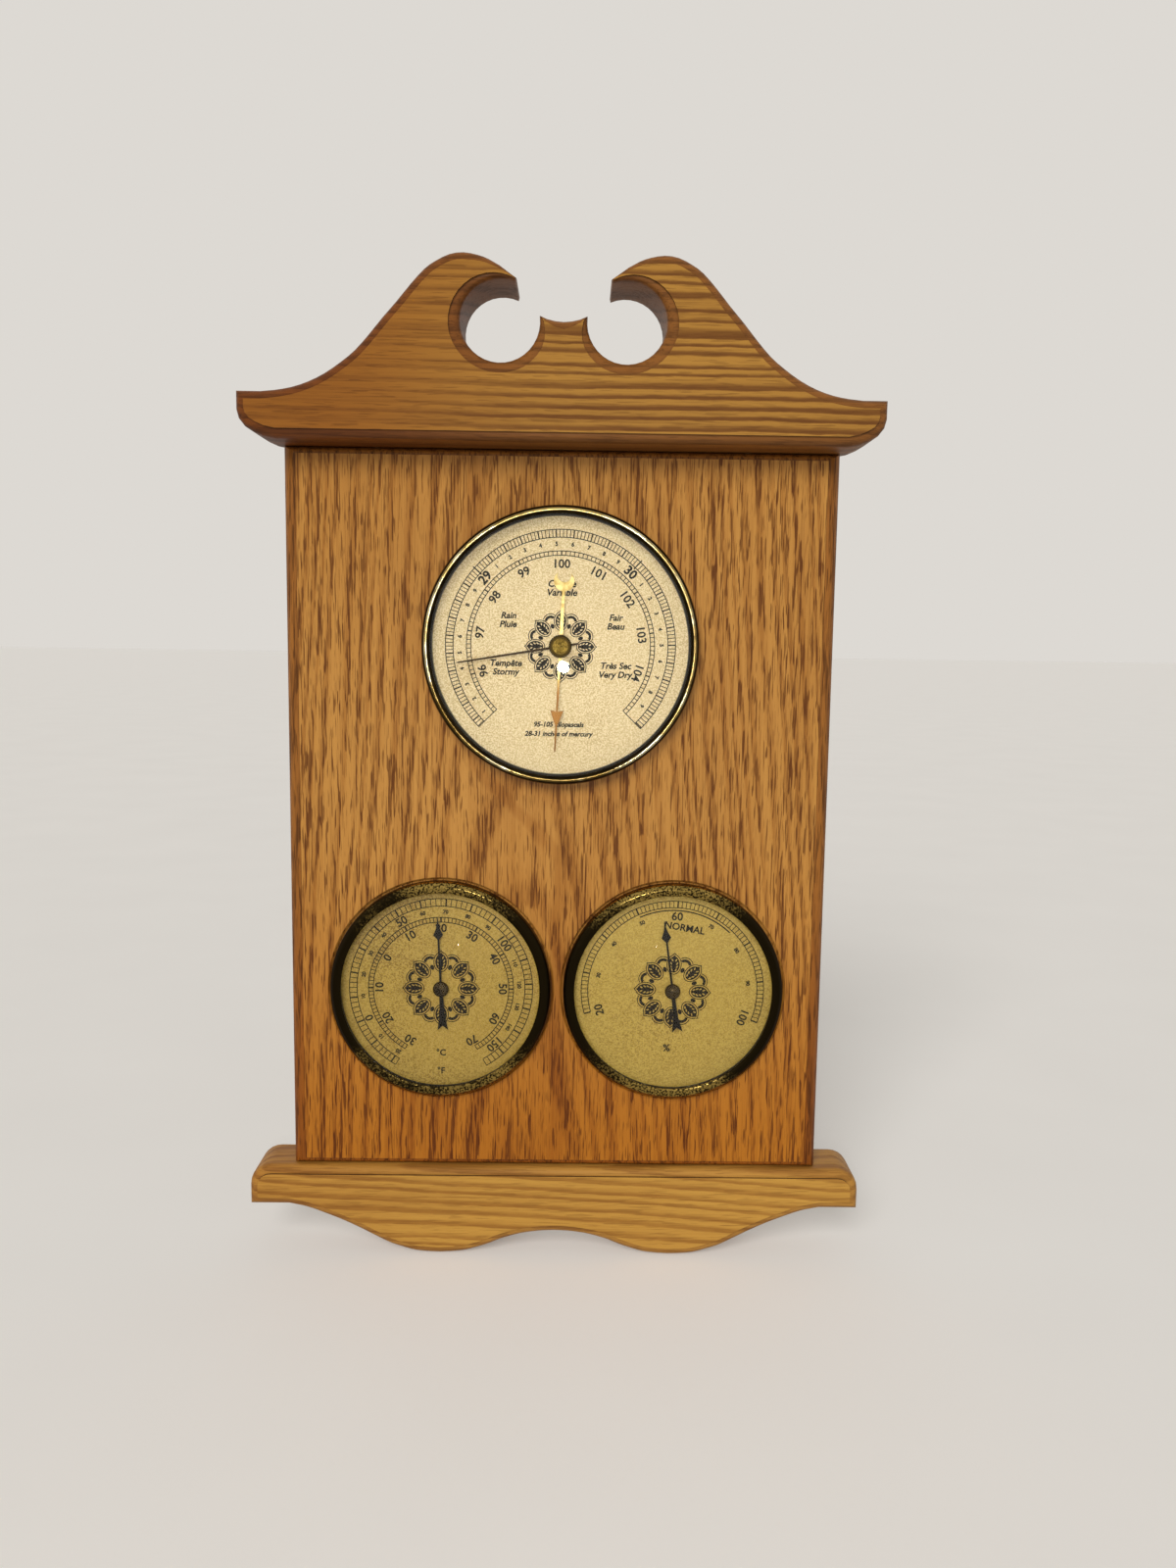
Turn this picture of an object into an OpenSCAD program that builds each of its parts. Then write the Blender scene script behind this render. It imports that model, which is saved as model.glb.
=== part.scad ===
// Wall weather station: three oak boards with a barometer above
// and a thermometer and a hygrometer side by side below.
// Origin: the seat of the hanging slot, on the back face. The back is
// the plane y = 0, the front faces -Y, and +Z is up.

/* [Boards] */
// Width of the upright board
body_w = 210; // [206:1:236]
// Height of the upright board
body_h = 281.5; // [279.5:0.5:300]
// Thickness of the upright board
body_t = 19; // [18:0.5:26]
// Height of the upright board's top end above the hook
body_over_hook = 11.5; // [11:0.5:16]
// Width of the routed band down the upright board's sides
body_band = 5; // [4.5:0.5:7]
// Width of the routed band along the upright board's ends
body_end_band = 2.9; // [2.5:0.1:4]
// Radius of the upright board's rounded edge
body_round = 4; // [2:0.5:4.4]
// Half width of the pediment
ped_half_w = 118; // [116:1:128]
// Thickness of the pediment
ped_t = 26; // [22:1:32]
// How far the pediment's face stands before the upright board's face
ped_forward = 16; // [12:0.5:17]
// Height of the pediment's flat ends
ped_end_h = 16.7; // [15:0.1:17]
// Radius of the two round notches
notch_r = 14.4; // [13.6:0.1:14.6]
// Distance of each notch centre from the middle
notch_x = 22.9; // [22.7:0.1:23.5]
// Height of the notch centres above the pediment's bottom
notch_z = 42.4; // [41:0.1:43]
// Half width of the base board
base_half_w = 122.4; // [120:0.4:130]
// Thickness of the base board
base_t = 21; // [18:0.5:26]
// How far the base's face stands before the upright board's face
base_forward = 2; // [0:0.5:4]
// Height of the base board's flat ends
base_end_h = 16.6; // [15.6:0.1:17]
// Radius of the base board's upper corners
base_corner = 8.4; // [5:0.2:10]
// Width of the routed band on pediment and base
trim_band = 3.3; // [3:0.1:4]
// Radius of the rounded edge on pediment and base
trim_round = 2.8; // [1.6:0.1:2.9]
// How much wider the routed band is round the pediment's two notches
notch_wide = 1.3; // [1:0.05:1.35]
// Depth of the routed step
step_d = 0.8; // [0.4:0.1:1.2]
// Radius of the joining dowels
dowel_r = 2.5; // [2:0.25:3]
// Length of the joining dowels
dowel_len = 24; // [18:1:26]
// Distance of the upper dowels from the middle
ped_dowel_x = 70; // [60:1:78]
// Distance of the lower dowels from the middle
base_dowel_x = 80; // [74:1:90]

/* [Hanger] */
// Width of the hanger plate
plate_w = 46; // [40:1:56]
// Thickness of the hanger plate
plate_t = 1.5; // [1:0.1:2]
// Radius of the plate's entry hole
entry_r = 4.2; // [3.6:0.1:4.4]
// Half width of the hanging slot
slot_r = 2.1; // [1.6:0.1:2.5]
// Distance from the entry hole down from the hook's seat
entry_drop = 7; // [6:0.25:7.25]
// Distance of the plate's screws from the middle
plate_screw_x = 17; // [14:0.5:17]
// Depth of the hollow behind the plate's slot
hollow_d = 4.5; // [4:0.25:6]

/* [Barometer] */
// Distance of the barometer's centre below the hook
baro_drop = 62; // [61:0.5:66]
// Outer radius of the barometer's bezel
baro_bezel_r = 52.9; // [52.5:0.1:54]
// Inner radius of the barometer's bezel lip
baro_lip_r = 49.2; // [48.9:0.1:49.6]
// Radius of the barometer's can
baro_can_r = 46.6; // [44:0.1:47]
// Radius of the barometer's dial plate
baro_dial_r = 50.6; // [50:0.1:50.8]
// Height of the black spacer ring
baro_ring_h = 3.2; // [3.2:0.1:5]
// Inner radius of the black spacer ring
baro_ring_r = 48.7; // [48:0.1:48.8]
// Thickness of the flat glass
baro_glass_t = 1.8; // [1.2:0.1:3]
// Length of the pressure pointer from its centre
baro_pointer_len = 40.4; // [30:0.2:46]
// Length of the set hand from its centre
set_hand_len = 40.5; // [34:0.5:46]
// Radius of the set hand's shaft
set_shaft_r = 1.5; // [1.2:0.1:2]
// Radius of the knurled knob
knob_r = 4.4; // [3.4:0.1:6]
// Height of the knurled knob
knob_h = 3.8; // [2:0.1:8]

/* [Barometer movement] */
// Radius of the movement's lower plate
mov_plate_r = 26; // [25:0.5:30]
// Radius of the aneroid capsule
capsule_r = 14.5; // [10:0.5:15]
// Thickness of the aneroid capsule
capsule_h = 3.6; // [3:0.1:4]
// Pitch radius of the pointer's pinion
pinion_r = 1.6; // [1.6:0.1:1.6]
// Teeth of the pinion
pinion_n = 8; // [8:1:8]
// Turns of the pointer for one turn of the sector
gear_ratio = 10; // [10:1:10]
// Turns of the hairspring
hair_turns = 5; // [3:1:6]
// Pitch of the hairspring's turns
hair_pitch = 0.95; // [0.7:0.05:1]

/* [Small instruments] */
// Distance of the small dials' centres from the middle
small_x = 45.7; // [45.5:0.1:48]
// Distance of the small dials' centres below the hook
small_drop = 196.7; // [180:0.5:206]
// Outer radius of the small bezels
small_bezel_r = 43.3; // [43:0.1:44]
// Inner radius of the small bezels' lips
small_lip_r = 38.9; // [38:0.1:39.4]
// Depth of the round seat in the wood
small_seat_d = 1.2; // [0.8:0.1:2]
// Radius of the small cans
small_can_r = 37.6; // [34:0.1:38]
// Depth of the small cans
small_can_depth = 13.5; // [12.5:0.1:14.5]
// Radius of the small dial plates
small_dial_r = 41; // [40:0.1:41.4]
// Height of the small spacer rings
small_ring_h = 1; // [0.8:0.1:2]
// Radius of the domed glasses' curve
dome_r = 88; // [70:1:140]
// Thickness of the domed glasses
dome_t = 1.2; // [1:0.1:1.6]
// Length of the small pointers' needles
small_pointer_len = 28.9; // [22:0.1:34]
// Radius of the small pointers' domed hubs
small_hub_r = 3.1; // [2:0.1:4]
// Turns of the sensing coils
coil_turns = 4; // [2:1:5]
// Pitch of the sensing coils' turns
coil_pitch = 1.7; // [1.2:0.1:1.8]
// Height of the sensing coils' strip
coil_h = 3.6; // [2:0.1:4]

/* [Pointers at rest] */
// Pressure pointer, degrees clockwise from the top
baro_deg = -99.5; // [-135:0.5:135]
// Set hand, degrees clockwise from the top
set_deg = 182.6; // [0:0.2:360]
// Thermometer pointer, degrees clockwise from the top
thermo_deg = -2.7; // [-150:0.1:150]
// Hygrometer pointer, degrees clockwise from the top
hygro_deg = -7.7; // [-105:0.1:110]

/* [Hidden] */
$fn = 72;
// clearances: wood round a metal can, round a dowel, round a running shaft,
// and between pieces that move past each other
can_gap = 0.4;
dowel_gap = 0.05;
shaft_gap = 0.06;
run_gap = 0.35;

// heights below are measured forward from the back plane
body_top = body_over_hook;
body_bottom = body_over_hook - body_h;
ped_back = body_t + ped_forward - ped_t;
base_back = body_t + base_forward - base_t;
arbor_r = 0.6;

// barometer stack
can_wall = 0.8;
can_back = 1;
flange_t = 0.6;
dial_t = 0.5;
lip_t = 0.9;
baro_flange_r = baro_bezel_r - 1.5;
baro_dial_z = body_t + flange_t;
baro_dial_top = baro_dial_z + dial_t;
baro_glass_z = baro_dial_top + baro_ring_h;
baro_glass_top = baro_glass_z + baro_glass_t;
pointer_t = 0.3;
baro_pointer_z = baro_dial_top + 0.9;
baro_hub_top = baro_pointer_z + 0.7;
spear_w = 2.55;
spear_at = 16.3;
moon_r = 3.9;
moon_at = 24.6;
baro_tail_len = 7;
set_hub_r = 2.2;
baro_hub_r = 1.6;
set_hub_z = baro_hub_top + run_gap;
set_hub_top = baro_glass_z - 0.3;
collar_z = baro_glass_top + 0.3;
collar_h = 1;
collar_r = knob_r - 0.7;

// movement stack
floor_z = can_back + can_wall;
spacer_h = 1.2;
mov_plate_t = 1.2;
low_plate_z = floor_z + spacer_h;
capsule_z = low_plate_z + mov_plate_t + 0.8;
spring_t = 0.8;
post_h = 0.8;
spring_z = capsule_z + capsule_h + post_h;
pinion_h = 1.4;
pinion_z = spring_z + spring_t + 1.2;
sector_z = pinion_z + 0.2;
sector_t = 1;
top_plate_z = pinion_z + pinion_h + 0.4;
top_plate_t = 1;
sector_r = pinion_r * gear_ratio;
pivot_y = sector_r + pinion_r;
pillar_r = 1.6;
pillar_at = [[-19, -13], [19, -13], [-18, 14], [18, 14]];
tooth_w = 0.34;
tooth_out = 0.35;
tooth_in = 0.45;
top_half_w = 22;
top_waist = 10;
top_low = 16;
top_arm = 17;
top_crown = 21;
hair_z = top_plate_z + top_plate_t + 0.7;
hair_h = 0.8;
hair_r0 = 1.35;
hair_w = 0.14;
hair_pin_r = 0.5;
// a running spring or coil just clears its post and its arbor
coil_gap = 0.02;
hair_post_r = hair_r0 + hair_turns * hair_pitch + hair_w / 2 + hair_pin_r + coil_gap;

// small instrument stack
seat_z = body_t - small_seat_d;
seat_r = small_bezel_r + 0.6;
small_flange_t = 0.5;
small_dial_t = 0.4;
small_flange_r = small_bezel_r - 1.3;
small_back = seat_z - small_can_depth;
small_floor = small_back + 0.6;
small_dial_z = seat_z + small_flange_t;
small_dial_top = small_dial_z + small_dial_t;
glass_edge_z = small_dial_top + small_ring_h;
glass_r = small_bezel_r - 1.5;
small_pointer_z = small_dial_top + 1;
bridge_z = small_floor + 7.6;
bridge_t = 0.9;
bridge_x = 12.4;
coil_z = small_floor + 2.4;
coil_r0 = 1.25;
// the hub's stem goes through the pointer's eye
hub_stem = 0.5;
hub_stem_r = small_hub_r / 2;
eye_r = hub_stem_r + 0.7;
head_w = 1.9;
head_at = 7.2;
tail_w = 2.1;
tail_len = 16.6;
coil_w = 0.3;
coil_pin_r = 0.7;
coil_post_r = coil_r0 + coil_turns * coil_pitch + coil_w / 2 + coil_pin_r + coil_gap;

function mirrored(p) = [for (i = [len(p) - 1 : -1 : 0]) [-p[i][0], p[i][1]]];
// a smooth line through the given points, with extra points between the inner ones
function smooth(p) = [for (i = [0 : len(p) - 1]) each i == 0 || i >= len(p) - 2 ? [p[i]]
    : [p[i], (9 * (p[i] + p[i + 1]) - p[i - 1] - p[i + 2]) / 16]];
function arc(c, r, a, b, n) = [for (i = [0 : n])
    let (t = a + (b - a) * i / n) c + r * [cos(t), sin(t)]];

// PEDIMENT OUTLINE, right half, height above the pediment's bottom
tip_a = 113;
horn_a = 172.7;
notch_c = [notch_x, notch_z];
// past the crown the sweep is laid out on a half width of 118 and stretches with the board
crown_x = 41;
function reach(x) = x <= crown_x ? x
    : crown_x + (x - crown_x) * (ped_half_w - crown_x) / (118 - crown_x);
sweep = [[23, 61.4], [27, 63.6], [31, 65], [36, 65.8], [41, 65.1], [46, 62.7],
    [50, 59.9], [55, 54.6], [60, 48.6], [65, 43], [70, 37], [75, 31.5], [80, 27.4],
    [86, 23.3], [92, 20.3], [98, 18.3], [104, 17.2], [109, ped_end_h]];
scroll = [for (p = sweep) [reach(p[0]), p[1]]];
ped_end = [[ped_half_w, ped_end_h], [ped_half_w, 10], [ped_half_w - 0.8, 7],
    [ped_half_w - 3, 4.2], [ped_half_w - 6, 2.4], [ped_half_w - 9.5, 0.9],
    [ped_half_w - 14, 0]];
tip = notch_c + notch_r * [cos(tip_a), sin(tip_a)];
horn = notch_c + notch_r * [cos(horn_a), sin(horn_a)];
dish_d = 1.8;
// how far from its tip and its horn the routed band reaches its full width
tip_run = 22;
horn_run = 10;
dish_r = (horn[0] * horn[0] + dish_d * dish_d) / (2 * dish_d);
dish_a = asin(horn[0] / dish_r);
ped_half = concat(
    [for (i = [len(ped_end) - 1 : -1 : 0]) ped_end[i]],
    let (s = smooth(scroll)) [for (i = [len(s) - 1 : -1 : 0]) s[i]],
    [tip + [2.8, 3.6], tip + [-0.3, 1.3]],
    arc(notch_c, notch_r, tip_a, horn_a - 360, 30));
dish = arc([0, horn[1] - dish_d + dish_r], dish_r, 270 + dish_a, 270 - dish_a, 6);
ped_line = concat(ped_half, [for (i = [1 : 5]) dish[i]], mirrored(ped_half));

// BASE OUTLINE, right half, measured down from the board's top
apron = [[107, base_end_h], [101.5, 17.7], [97.5, 18.9], [93.5, 20.4], [86, 23.4],
    [78, 27.2], [70, 31.4], [66, 33.3], [62, 34.6], [58, 35.8], [54, 36.5], [46, 36.9],
    [38, 36.3], [34, 35.5], [30, 34.3], [26, 32.9], [22, 31.2], [18, 29.9], [14, 28.8],
    [10, 28.1], [5, 27.5], [0, 27.3]];
apron_half = let (s = smooth(apron)) [for (i = [len(s) - 2 : -1 : 0]) [s[i][0], -s[i][1]]];
end_half = concat([[base_half_w, -base_end_h]],
    arc([base_half_w - base_corner, -base_corner], base_corner, 0, 90, 6));
base_line = concat(mirrored(apron_half), [[0, -27.3]], apron_half, end_half, mirrored(end_half));

// a board with a routed edge: the outline steps in ring by ring at the front
function edge_dir(a, b) = let (d = b - a) [d[1], -d[0]] / norm(d);
function miter(p, i) = let (n = len(p), a = edge_dir(p[(i + n - 1) % n], p[i]),
    b = edge_dir(p[i], p[(i + 1) % n])) -(a + b) / (1 + a * b);
// how much of the band is left at p, which narrows towards a keen corner:
// each is [x, y, share there, distance over which the share grows by one]
// and how much more of it there is on one circle: wide is [x, y, radius, share there]
function share(p, keen, wide) = min(
    abs(norm([abs(p[0]), p[1]] - [wide[0], wide[1]]) - wide[2]) < 0.05 ? wide[3] : 1,
    min([for (c = keen) c[2] + norm(p - [c[0], c[1]]) / c[3]]));
function inset(line, keen, wide, d) = [for (i = [0 : len(line) - 1])
    line[i] + d * share(line[i], keen, wide) * miter(line, i)];
module routed_board(line, keen, wide, band, round, thick) {
    n = len(line);
    z1 = thick - step_d;
    z0 = z1 - round;
    linear_extrude(z0) polygon(line);
    linear_extrude(thick) polygon(inset(line, keen, wide, band));
    // the rounded rim, a closed ring between the two
    rim = concat([[0, z0 - 0.4]],
        [for (a = [0 : 22.5 : 90]) [round * (1 - cos(a)), z1 - round * (1 - sin(a))]],
        [[band, z1], [band, z0 - 0.4]]);
    m = len(rim);
    pts = [for (r = rim) for (p = inset(line, keen, wide, r[0])) [p[0], p[1], r[1]]];
    faces = [for (j = [0 : m - 1]) for (i = [0 : n - 1]) each
        let (a = j * n + i, b = j * n + (i + 1) % n, c = (j + 1) % m * n + i,
            d = (j + 1) % m * n + (i + 1) % n) [[a, c, b], [b, c, d]]];
    polyhedron(pts, faces, convexity = 10);
}

module front(x, z) { translate([x, 0, z]) rotate([90, 0, 0]) children(); }
module disc(r, z, h) { translate([0, 0, z]) cylinder(r = r, h = h); }
module ring(r1, r2, z, h) {
    difference() { disc(r2, z, h); disc(r1, z - 1, h + 2); }
}
// a flat spiral strip round the z axis, from angle a0
module spiral(r0, turns, pitch, w, h, a0, n) {
    linear_extrude(h) polygon(concat(
        [for (i = [0 : turns * n]) let (a = a0 + i * 360 / n, r = r0 + pitch * i / n)
            (r - w / 2) * [cos(a), sin(a)]],
        [for (i = [turns * n : -1 : 0]) let (a = a0 + i * 360 / n, r = r0 + pitch * i / n)
            (r + w / 2) * [cos(a), sin(a)]]));
}
// a screw whose head's underside is at z, its slotted head toward +z
module screw(r_head, h_head, r, len) {
    difference() {
        cylinder(r = r_head, h = h_head, $fn = 32);
        translate([-r_head - 1, -0.25, h_head * 0.5]) cube([2 * r_head + 2, 0.5, h_head]);
    }
    translate([0, 0, -len]) cylinder(r = r, h = len + 0.01, $fn = 24);
}

// BOARDS
module dowel_pair(x, y, z, r, extra) {
    for (s = [-1, 1]) translate([s * x, y, z - dowel_len / 2 - extra])
        cylinder(r = r, h = dowel_len + 2 * extra, $fn = 32);
}
ped_dowel_y = -(0.65 * ped_back + 0.35 * body_t);
base_dowel_y = -body_t / 2;
module upper_dowels(r, extra) { dowel_pair(ped_dowel_x, ped_dowel_y, body_top, r, extra); }
module lower_dowels(r, extra) { dowel_pair(base_dowel_x, base_dowel_y, body_bottom, r, extra); }

wood_screw_len = 10;
plate_head_r = 2.9;
plate_over = 8;
plate_under = 12;
module body_board() {
    k = body_end_band / body_band;
    hw = body_w / 2;
    rings = concat([[0, 0]],
        [for (a = [0 : 15 : 90]) [body_round * (1 - cos(a)),
            body_t - step_d - body_round * (1 - sin(a))]],
        [[body_band, body_t - step_d], [body_band, body_t]]);
    pts = [for (r = rings) for (c = [[-1, 0], [1, 0], [1, 1], [-1, 1]])
        [c[0] * (hw - r[0]), c[1] == 1 ? body_top - k * r[0] : body_bottom + k * r[0], r[1]]];
    m = len(rings);
    faces = concat([[0, 1, 2, 3]],
        [for (j = [0 : m - 2]) for (i = [0 : 3]) let (a = 4 * j + i, b = 4 * j + (i + 1) % 4)
            [b, a, a + 4, b + 4]],
        [[for (i = [3 : -1 : 0]) 4 * (m - 1) + i]]);
    color([0.72, 0.45, 0.18]) difference() {
        front(0, 0) polyhedron(pts, faces);
        front(0, -baro_drop) disc(baro_can_r + can_gap, -1, body_t + 2);
        for (s = [-1, 1]) front(s * small_x, -small_drop) {
            disc(small_can_r + can_gap, -1, body_t + 2);
            disc(seat_r, seat_z, small_seat_d + 1);
            translate([0, 0, body_t - 0.7]) cylinder(r1 = seat_r, r2 = seat_r + 1, h = 1);
        }
        // hanger plate's pocket, the hollow behind its slot, and screw holes
        translate([-plate_w / 2, -plate_t, -plate_under])
            cube([plate_w, plate_t + 1, plate_over + plate_under]);
        front(0, 0) linear_extrude(plate_t + hollow_d) union() {
            translate([-entry_r - 0.5, -entry_drop]) square([2 * entry_r + 1, entry_drop]);
            circle(r = entry_r + 0.5);
            translate([0, -entry_drop]) circle(r = entry_r + 0.5);
        }
        for (s = [-1, 1]) front(s * plate_screw_x, 0) disc(1.3, -1, plate_t + wood_screw_len + 1);
        upper_dowels(dowel_r + dowel_gap, 0.5);
        lower_dowels(dowel_r + dowel_gap, 0.5);
    }
}
module pediment() {
    color([0.66, 0.4, 0.15]) difference() {
        translate([0, -ped_back, 0]) front(0, body_top)
            routed_board(ped_line, [for (s = [-1, 1]) each [[s * tip[0], tip[1], 0.12, tip_run],
                [s * horn[0], horn[1], 0.2, horn_run]]],
                [notch_c[0], notch_c[1], notch_r, notch_wide], trim_band, trim_round, ped_t);
        upper_dowels(dowel_r + dowel_gap, 0.5);
    }
}
module base_board() {
    color([0.76, 0.52, 0.24]) difference() {
        translate([0, -base_back, 0]) front(0, body_bottom)
            routed_board(base_line, [[0, 0, 1, 1]], [0, 0, 0, 1], trim_band, trim_round, base_t);
        lower_dowels(dowel_r + dowel_gap, 0.5);
    }
}
module pediment_dowels() { color([0.85, 0.7, 0.5]) upper_dowels(dowel_r, 0); }
module base_dowels() { color([0.85, 0.7, 0.5]) lower_dowels(dowel_r, 0); }
module hanger_plate() {
    color([0.75, 0.7, 0.5]) difference() {
        translate([-plate_w / 2 + 0.2, -plate_t, -plate_under + 0.2])
            cube([plate_w - 0.4, plate_t, plate_over + plate_under - 0.4]);
        front(0, -entry_drop) disc(entry_r, -1, plate_t + 2);
        front(0, 0) disc(slot_r, -1, plate_t + 2);
        translate([-slot_r, -plate_t - 1, -entry_drop]) cube([2 * slot_r, plate_t + 2, entry_drop]);
        for (s = [-1, 1]) front(s * plate_screw_x, 0) {
            disc(1.6, -1, plate_t + 2);
            translate([0, 0, -0.5]) cylinder(r1 = 3.5, r2 = 1.6, h = 1.9, $fn = 32);
        }
    }
}
module hanger_screws() {
    color([0.7, 0.68, 0.62]) for (s = [-1, 1]) front(s * plate_screw_x, 0) difference() {
        union() {
            cylinder(r1 = plate_head_r, r2 = 1.5, h = 1.4, $fn = 32);
            disc(1.2, 0.5, plate_t + wood_screw_len - 1, $fn = 24);
        }
        translate([-plate_head_r - 1, -0.3, -0.5]) cube([2 * plate_head_r + 2, 0.6, 1.1]);
    }
}

// BAROMETER
module at_baro() { front(0, -baro_drop) children(); }
mov_screw_len = 4;
mov_screw_at = [[0, -23], [-20, 5], [20, 5]];
adjust_at = [-9, -21];
module baro_case() {
    color([0.6, 0.58, 0.5]) at_baro() difference() {
        union() {
            disc(baro_can_r, can_back, body_t - can_back + flange_t);
            disc(baro_flange_r, body_t, flange_t);
        }
        disc(baro_can_r - can_wall, floor_z, body_t);
        for (p = mov_screw_at) translate([p[0], p[1], 0]) disc(1.1, 0, 4, $fn = 24);
        translate([adjust_at[0], adjust_at[1], 0]) disc(2.5, 0, 4, $fn = 32);
    }
}
module baro_dial() {
    color([0.85, 0.75, 0.45]) at_baro() ring(2, baro_dial_r, baro_dial_z, dial_t);
}
module baro_spacer() {
    color([0.06, 0.05, 0.05]) at_baro()
        ring(baro_ring_r, baro_dial_r, baro_dial_top, baro_ring_h);
}
module baro_glass() {
    color([0.8, 0.9, 0.95, 0.3]) at_baro()
        ring(set_shaft_r + shaft_gap, baro_dial_r, baro_glass_z, baro_glass_t);
}
module baro_bezel() {
    r = baro_bezel_r;
    z = baro_glass_top;
    color([0.85, 0.68, 0.3]) at_baro() rotate_extrude($fn = 96) polygon([
        [r - 1.1, body_t], [r, body_t], [r, body_t + 1.2], [r - 0.35, body_t + 1.5],
        [r - 0.35, z - 1.6], [r - 0.55, z - 0.4], [r - 1.1, z + 0.5],
        [r - 2, z + lip_t], [baro_lip_r + 0.7, z + lip_t],
        [baro_lip_r, z + 0.4], [baro_lip_r, z], [r - 1.1, z]]);
}
// points and tapers run along +y, from the centre
module blade(w0, w1, len) {
    linear_extrude(pointer_t) polygon([[-w0, 0], [w0, 0], [w1, len - 1], [0, len], [-w1, len - 1]]);
}
module baro_pointer() {
    color([0.08, 0.07, 0.06]) at_baro() difference() {
        union() {
            disc(baro_hub_r, baro_pointer_z - 0.3, baro_hub_top - baro_pointer_z + 0.3, $fn = 32);
            translate([0, 0, baro_pointer_z]) rotate(-baro_deg) {
                blade(0.5, 0.28, baro_pointer_len);
                rotate(180) linear_extrude(pointer_t) polygon([[-0.45, 0], [0.45, 0],
                    [0.4, baro_tail_len], [-0.4, baro_tail_len]]);
            }
        }
        disc(arbor_r, baro_pointer_z - 1, 9, $fn = 32);
    }
}
module set_hand() {
    l = set_hand_len;
    // half of the hand from its hub past the barbs to its tip, then the tail and its crescent
    half = [[0.65, 1], [0.35, l - 0.965 * spear_at], [spear_w, l - spear_at],
        [0.95, l - 0.725 * spear_at], [0.36, l - 0.645 * spear_at], [0.3, l - 0.8], [0, l]];
    color([0.8, 0.6, 0.25]) at_baro() {
        difference() {
            disc(set_hub_r, set_hub_z, set_hub_top - set_hub_z, $fn = 32);
            disc(set_shaft_r, set_hub_z - 1, 9, $fn = 32);
        }
        translate([0, 0, set_hub_z + 0.2]) rotate(-set_deg) linear_extrude(pointer_t) difference() {
            union() {
                polygon(concat(half, [for (p = mirrored(half)) if (p[0] != 0) p]));
                polygon([[-0.6, 0.8 * moon_r - moon_at], [0.6, 0.8 * moon_r - moon_at],
                    [0.75, -1], [-0.75, -1]]);
                translate([0, -moon_at]) difference() {
                    circle(r = moon_r, $fn = 48);
                    translate([0, -0.53 * moon_r]) circle(r = 0.67 * moon_r, $fn = 48);
                }
            }
            circle(r = set_shaft_r, $fn = 32);
        }
    }
}
module set_shaft() {
    color([0.75, 0.58, 0.25]) at_baro() {
        disc(set_shaft_r, set_hub_z, collar_z - set_hub_z + 0.5, $fn = 32);
        disc(collar_r, collar_z, collar_h, $fn = 40);
    }
}
module set_knob() {
    n = 32;
    color([0.82, 0.62, 0.28]) at_baro() translate([0, 0, collar_z + collar_h]) {
        linear_extrude(knob_h - 0.8) polygon([for (i = [0 : 2 * n - 1])
            (knob_r - (i % 2) * 0.25) * [cos(i * 180 / n), sin(i * 180 / n)]]);
        translate([0, 0, knob_h - 0.8]) cylinder(r1 = knob_r - 0.35, r2 = knob_r - 0.6, h = 0.8);
    }
}
module baro_arbor() {
    color([0.75, 0.62, 0.3]) at_baro() {
        disc(arbor_r, pinion_z - 0.3, baro_hub_top - pinion_z + 0.2, $fn = 32);
        disc(hair_r0 - hair_w / 2 - coil_gap, hair_z - 0.3, hair_h + 0.6, $fn = 32);
    }
}
module pinion() {
    color([0.8, 0.66, 0.35]) at_baro() translate([0, 0, pinion_z]) linear_extrude(pinion_h)
        difference() {
            union() {
                circle(r = pinion_r - tooth_in, $fn = 40);
                for (i = [0 : pinion_n - 1]) rotate(i * 360 / pinion_n)
                    polygon([[-tooth_w / 2, 0.8], [tooth_w / 2, 0.8], [tooth_w / 2, pinion_r],
                        [tooth_w / 4, pinion_r + tooth_out], [-tooth_w / 4, pinion_r + tooth_out],
                        [-tooth_w / 2, pinion_r]]);
            }
            circle(r = arbor_r, $fn = 32);
        }
}
sector_n = pinion_n * gear_ratio;
module sector() {
    p = 360 / sector_n;
    root = sector_r - tooth_in;
    color([0.82, 0.7, 0.4]) at_baro() translate([0, pivot_y, sector_z]) linear_extrude(sector_t)
        difference() {
            union() {
                circle(r = 3);
                polygon(concat(arc([0, 0], 3, 300, 190, 6),
                    arc([0, 0], root, 238, 280, 14)));
                for (i = [-2 : 6]) rotate(180 - (i + 0.5) * p) polygon([
                    [-tooth_w / 2, root - 0.4], [tooth_w / 2, root - 0.4], [tooth_w / 2, sector_r],
                    [tooth_w / 4, sector_r + tooth_out], [-tooth_w / 4, sector_r + tooth_out],
                    [-tooth_w / 2, sector_r]]);
            }
            circle(r = 0.9, $fn = 32);
            polygon(concat(arc([0, 0], 12.6, 243, 275, 8), arc([0, 0], 6, 272, 246, 4)));
        }
}
sector_pin_z = low_plate_z + mov_plate_t;
module sector_arbor() {
    color([0.75, 0.72, 0.68]) at_baro() translate([0, pivot_y, 0]) {
        disc(0.9, sector_pin_z + 0.4, top_plate_z - sector_pin_z - 0.8, $fn = 32);
        disc(arbor_r, low_plate_z, top_plate_z + top_plate_t - low_plate_z, $fn = 32);
        // crank arm and the pin that the lifting arm drives
        translate([0, 0, sector_pin_z + 1]) linear_extrude(1) polygon([
            [-1.4, -1.2], [1.4, -1.2], [1.2, 4.6], [-1.2, 4.6]]);
        translate([0, 3.4, 0]) disc(0.5, sector_pin_z + 1, 4, $fn = 24);
    }
}
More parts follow.
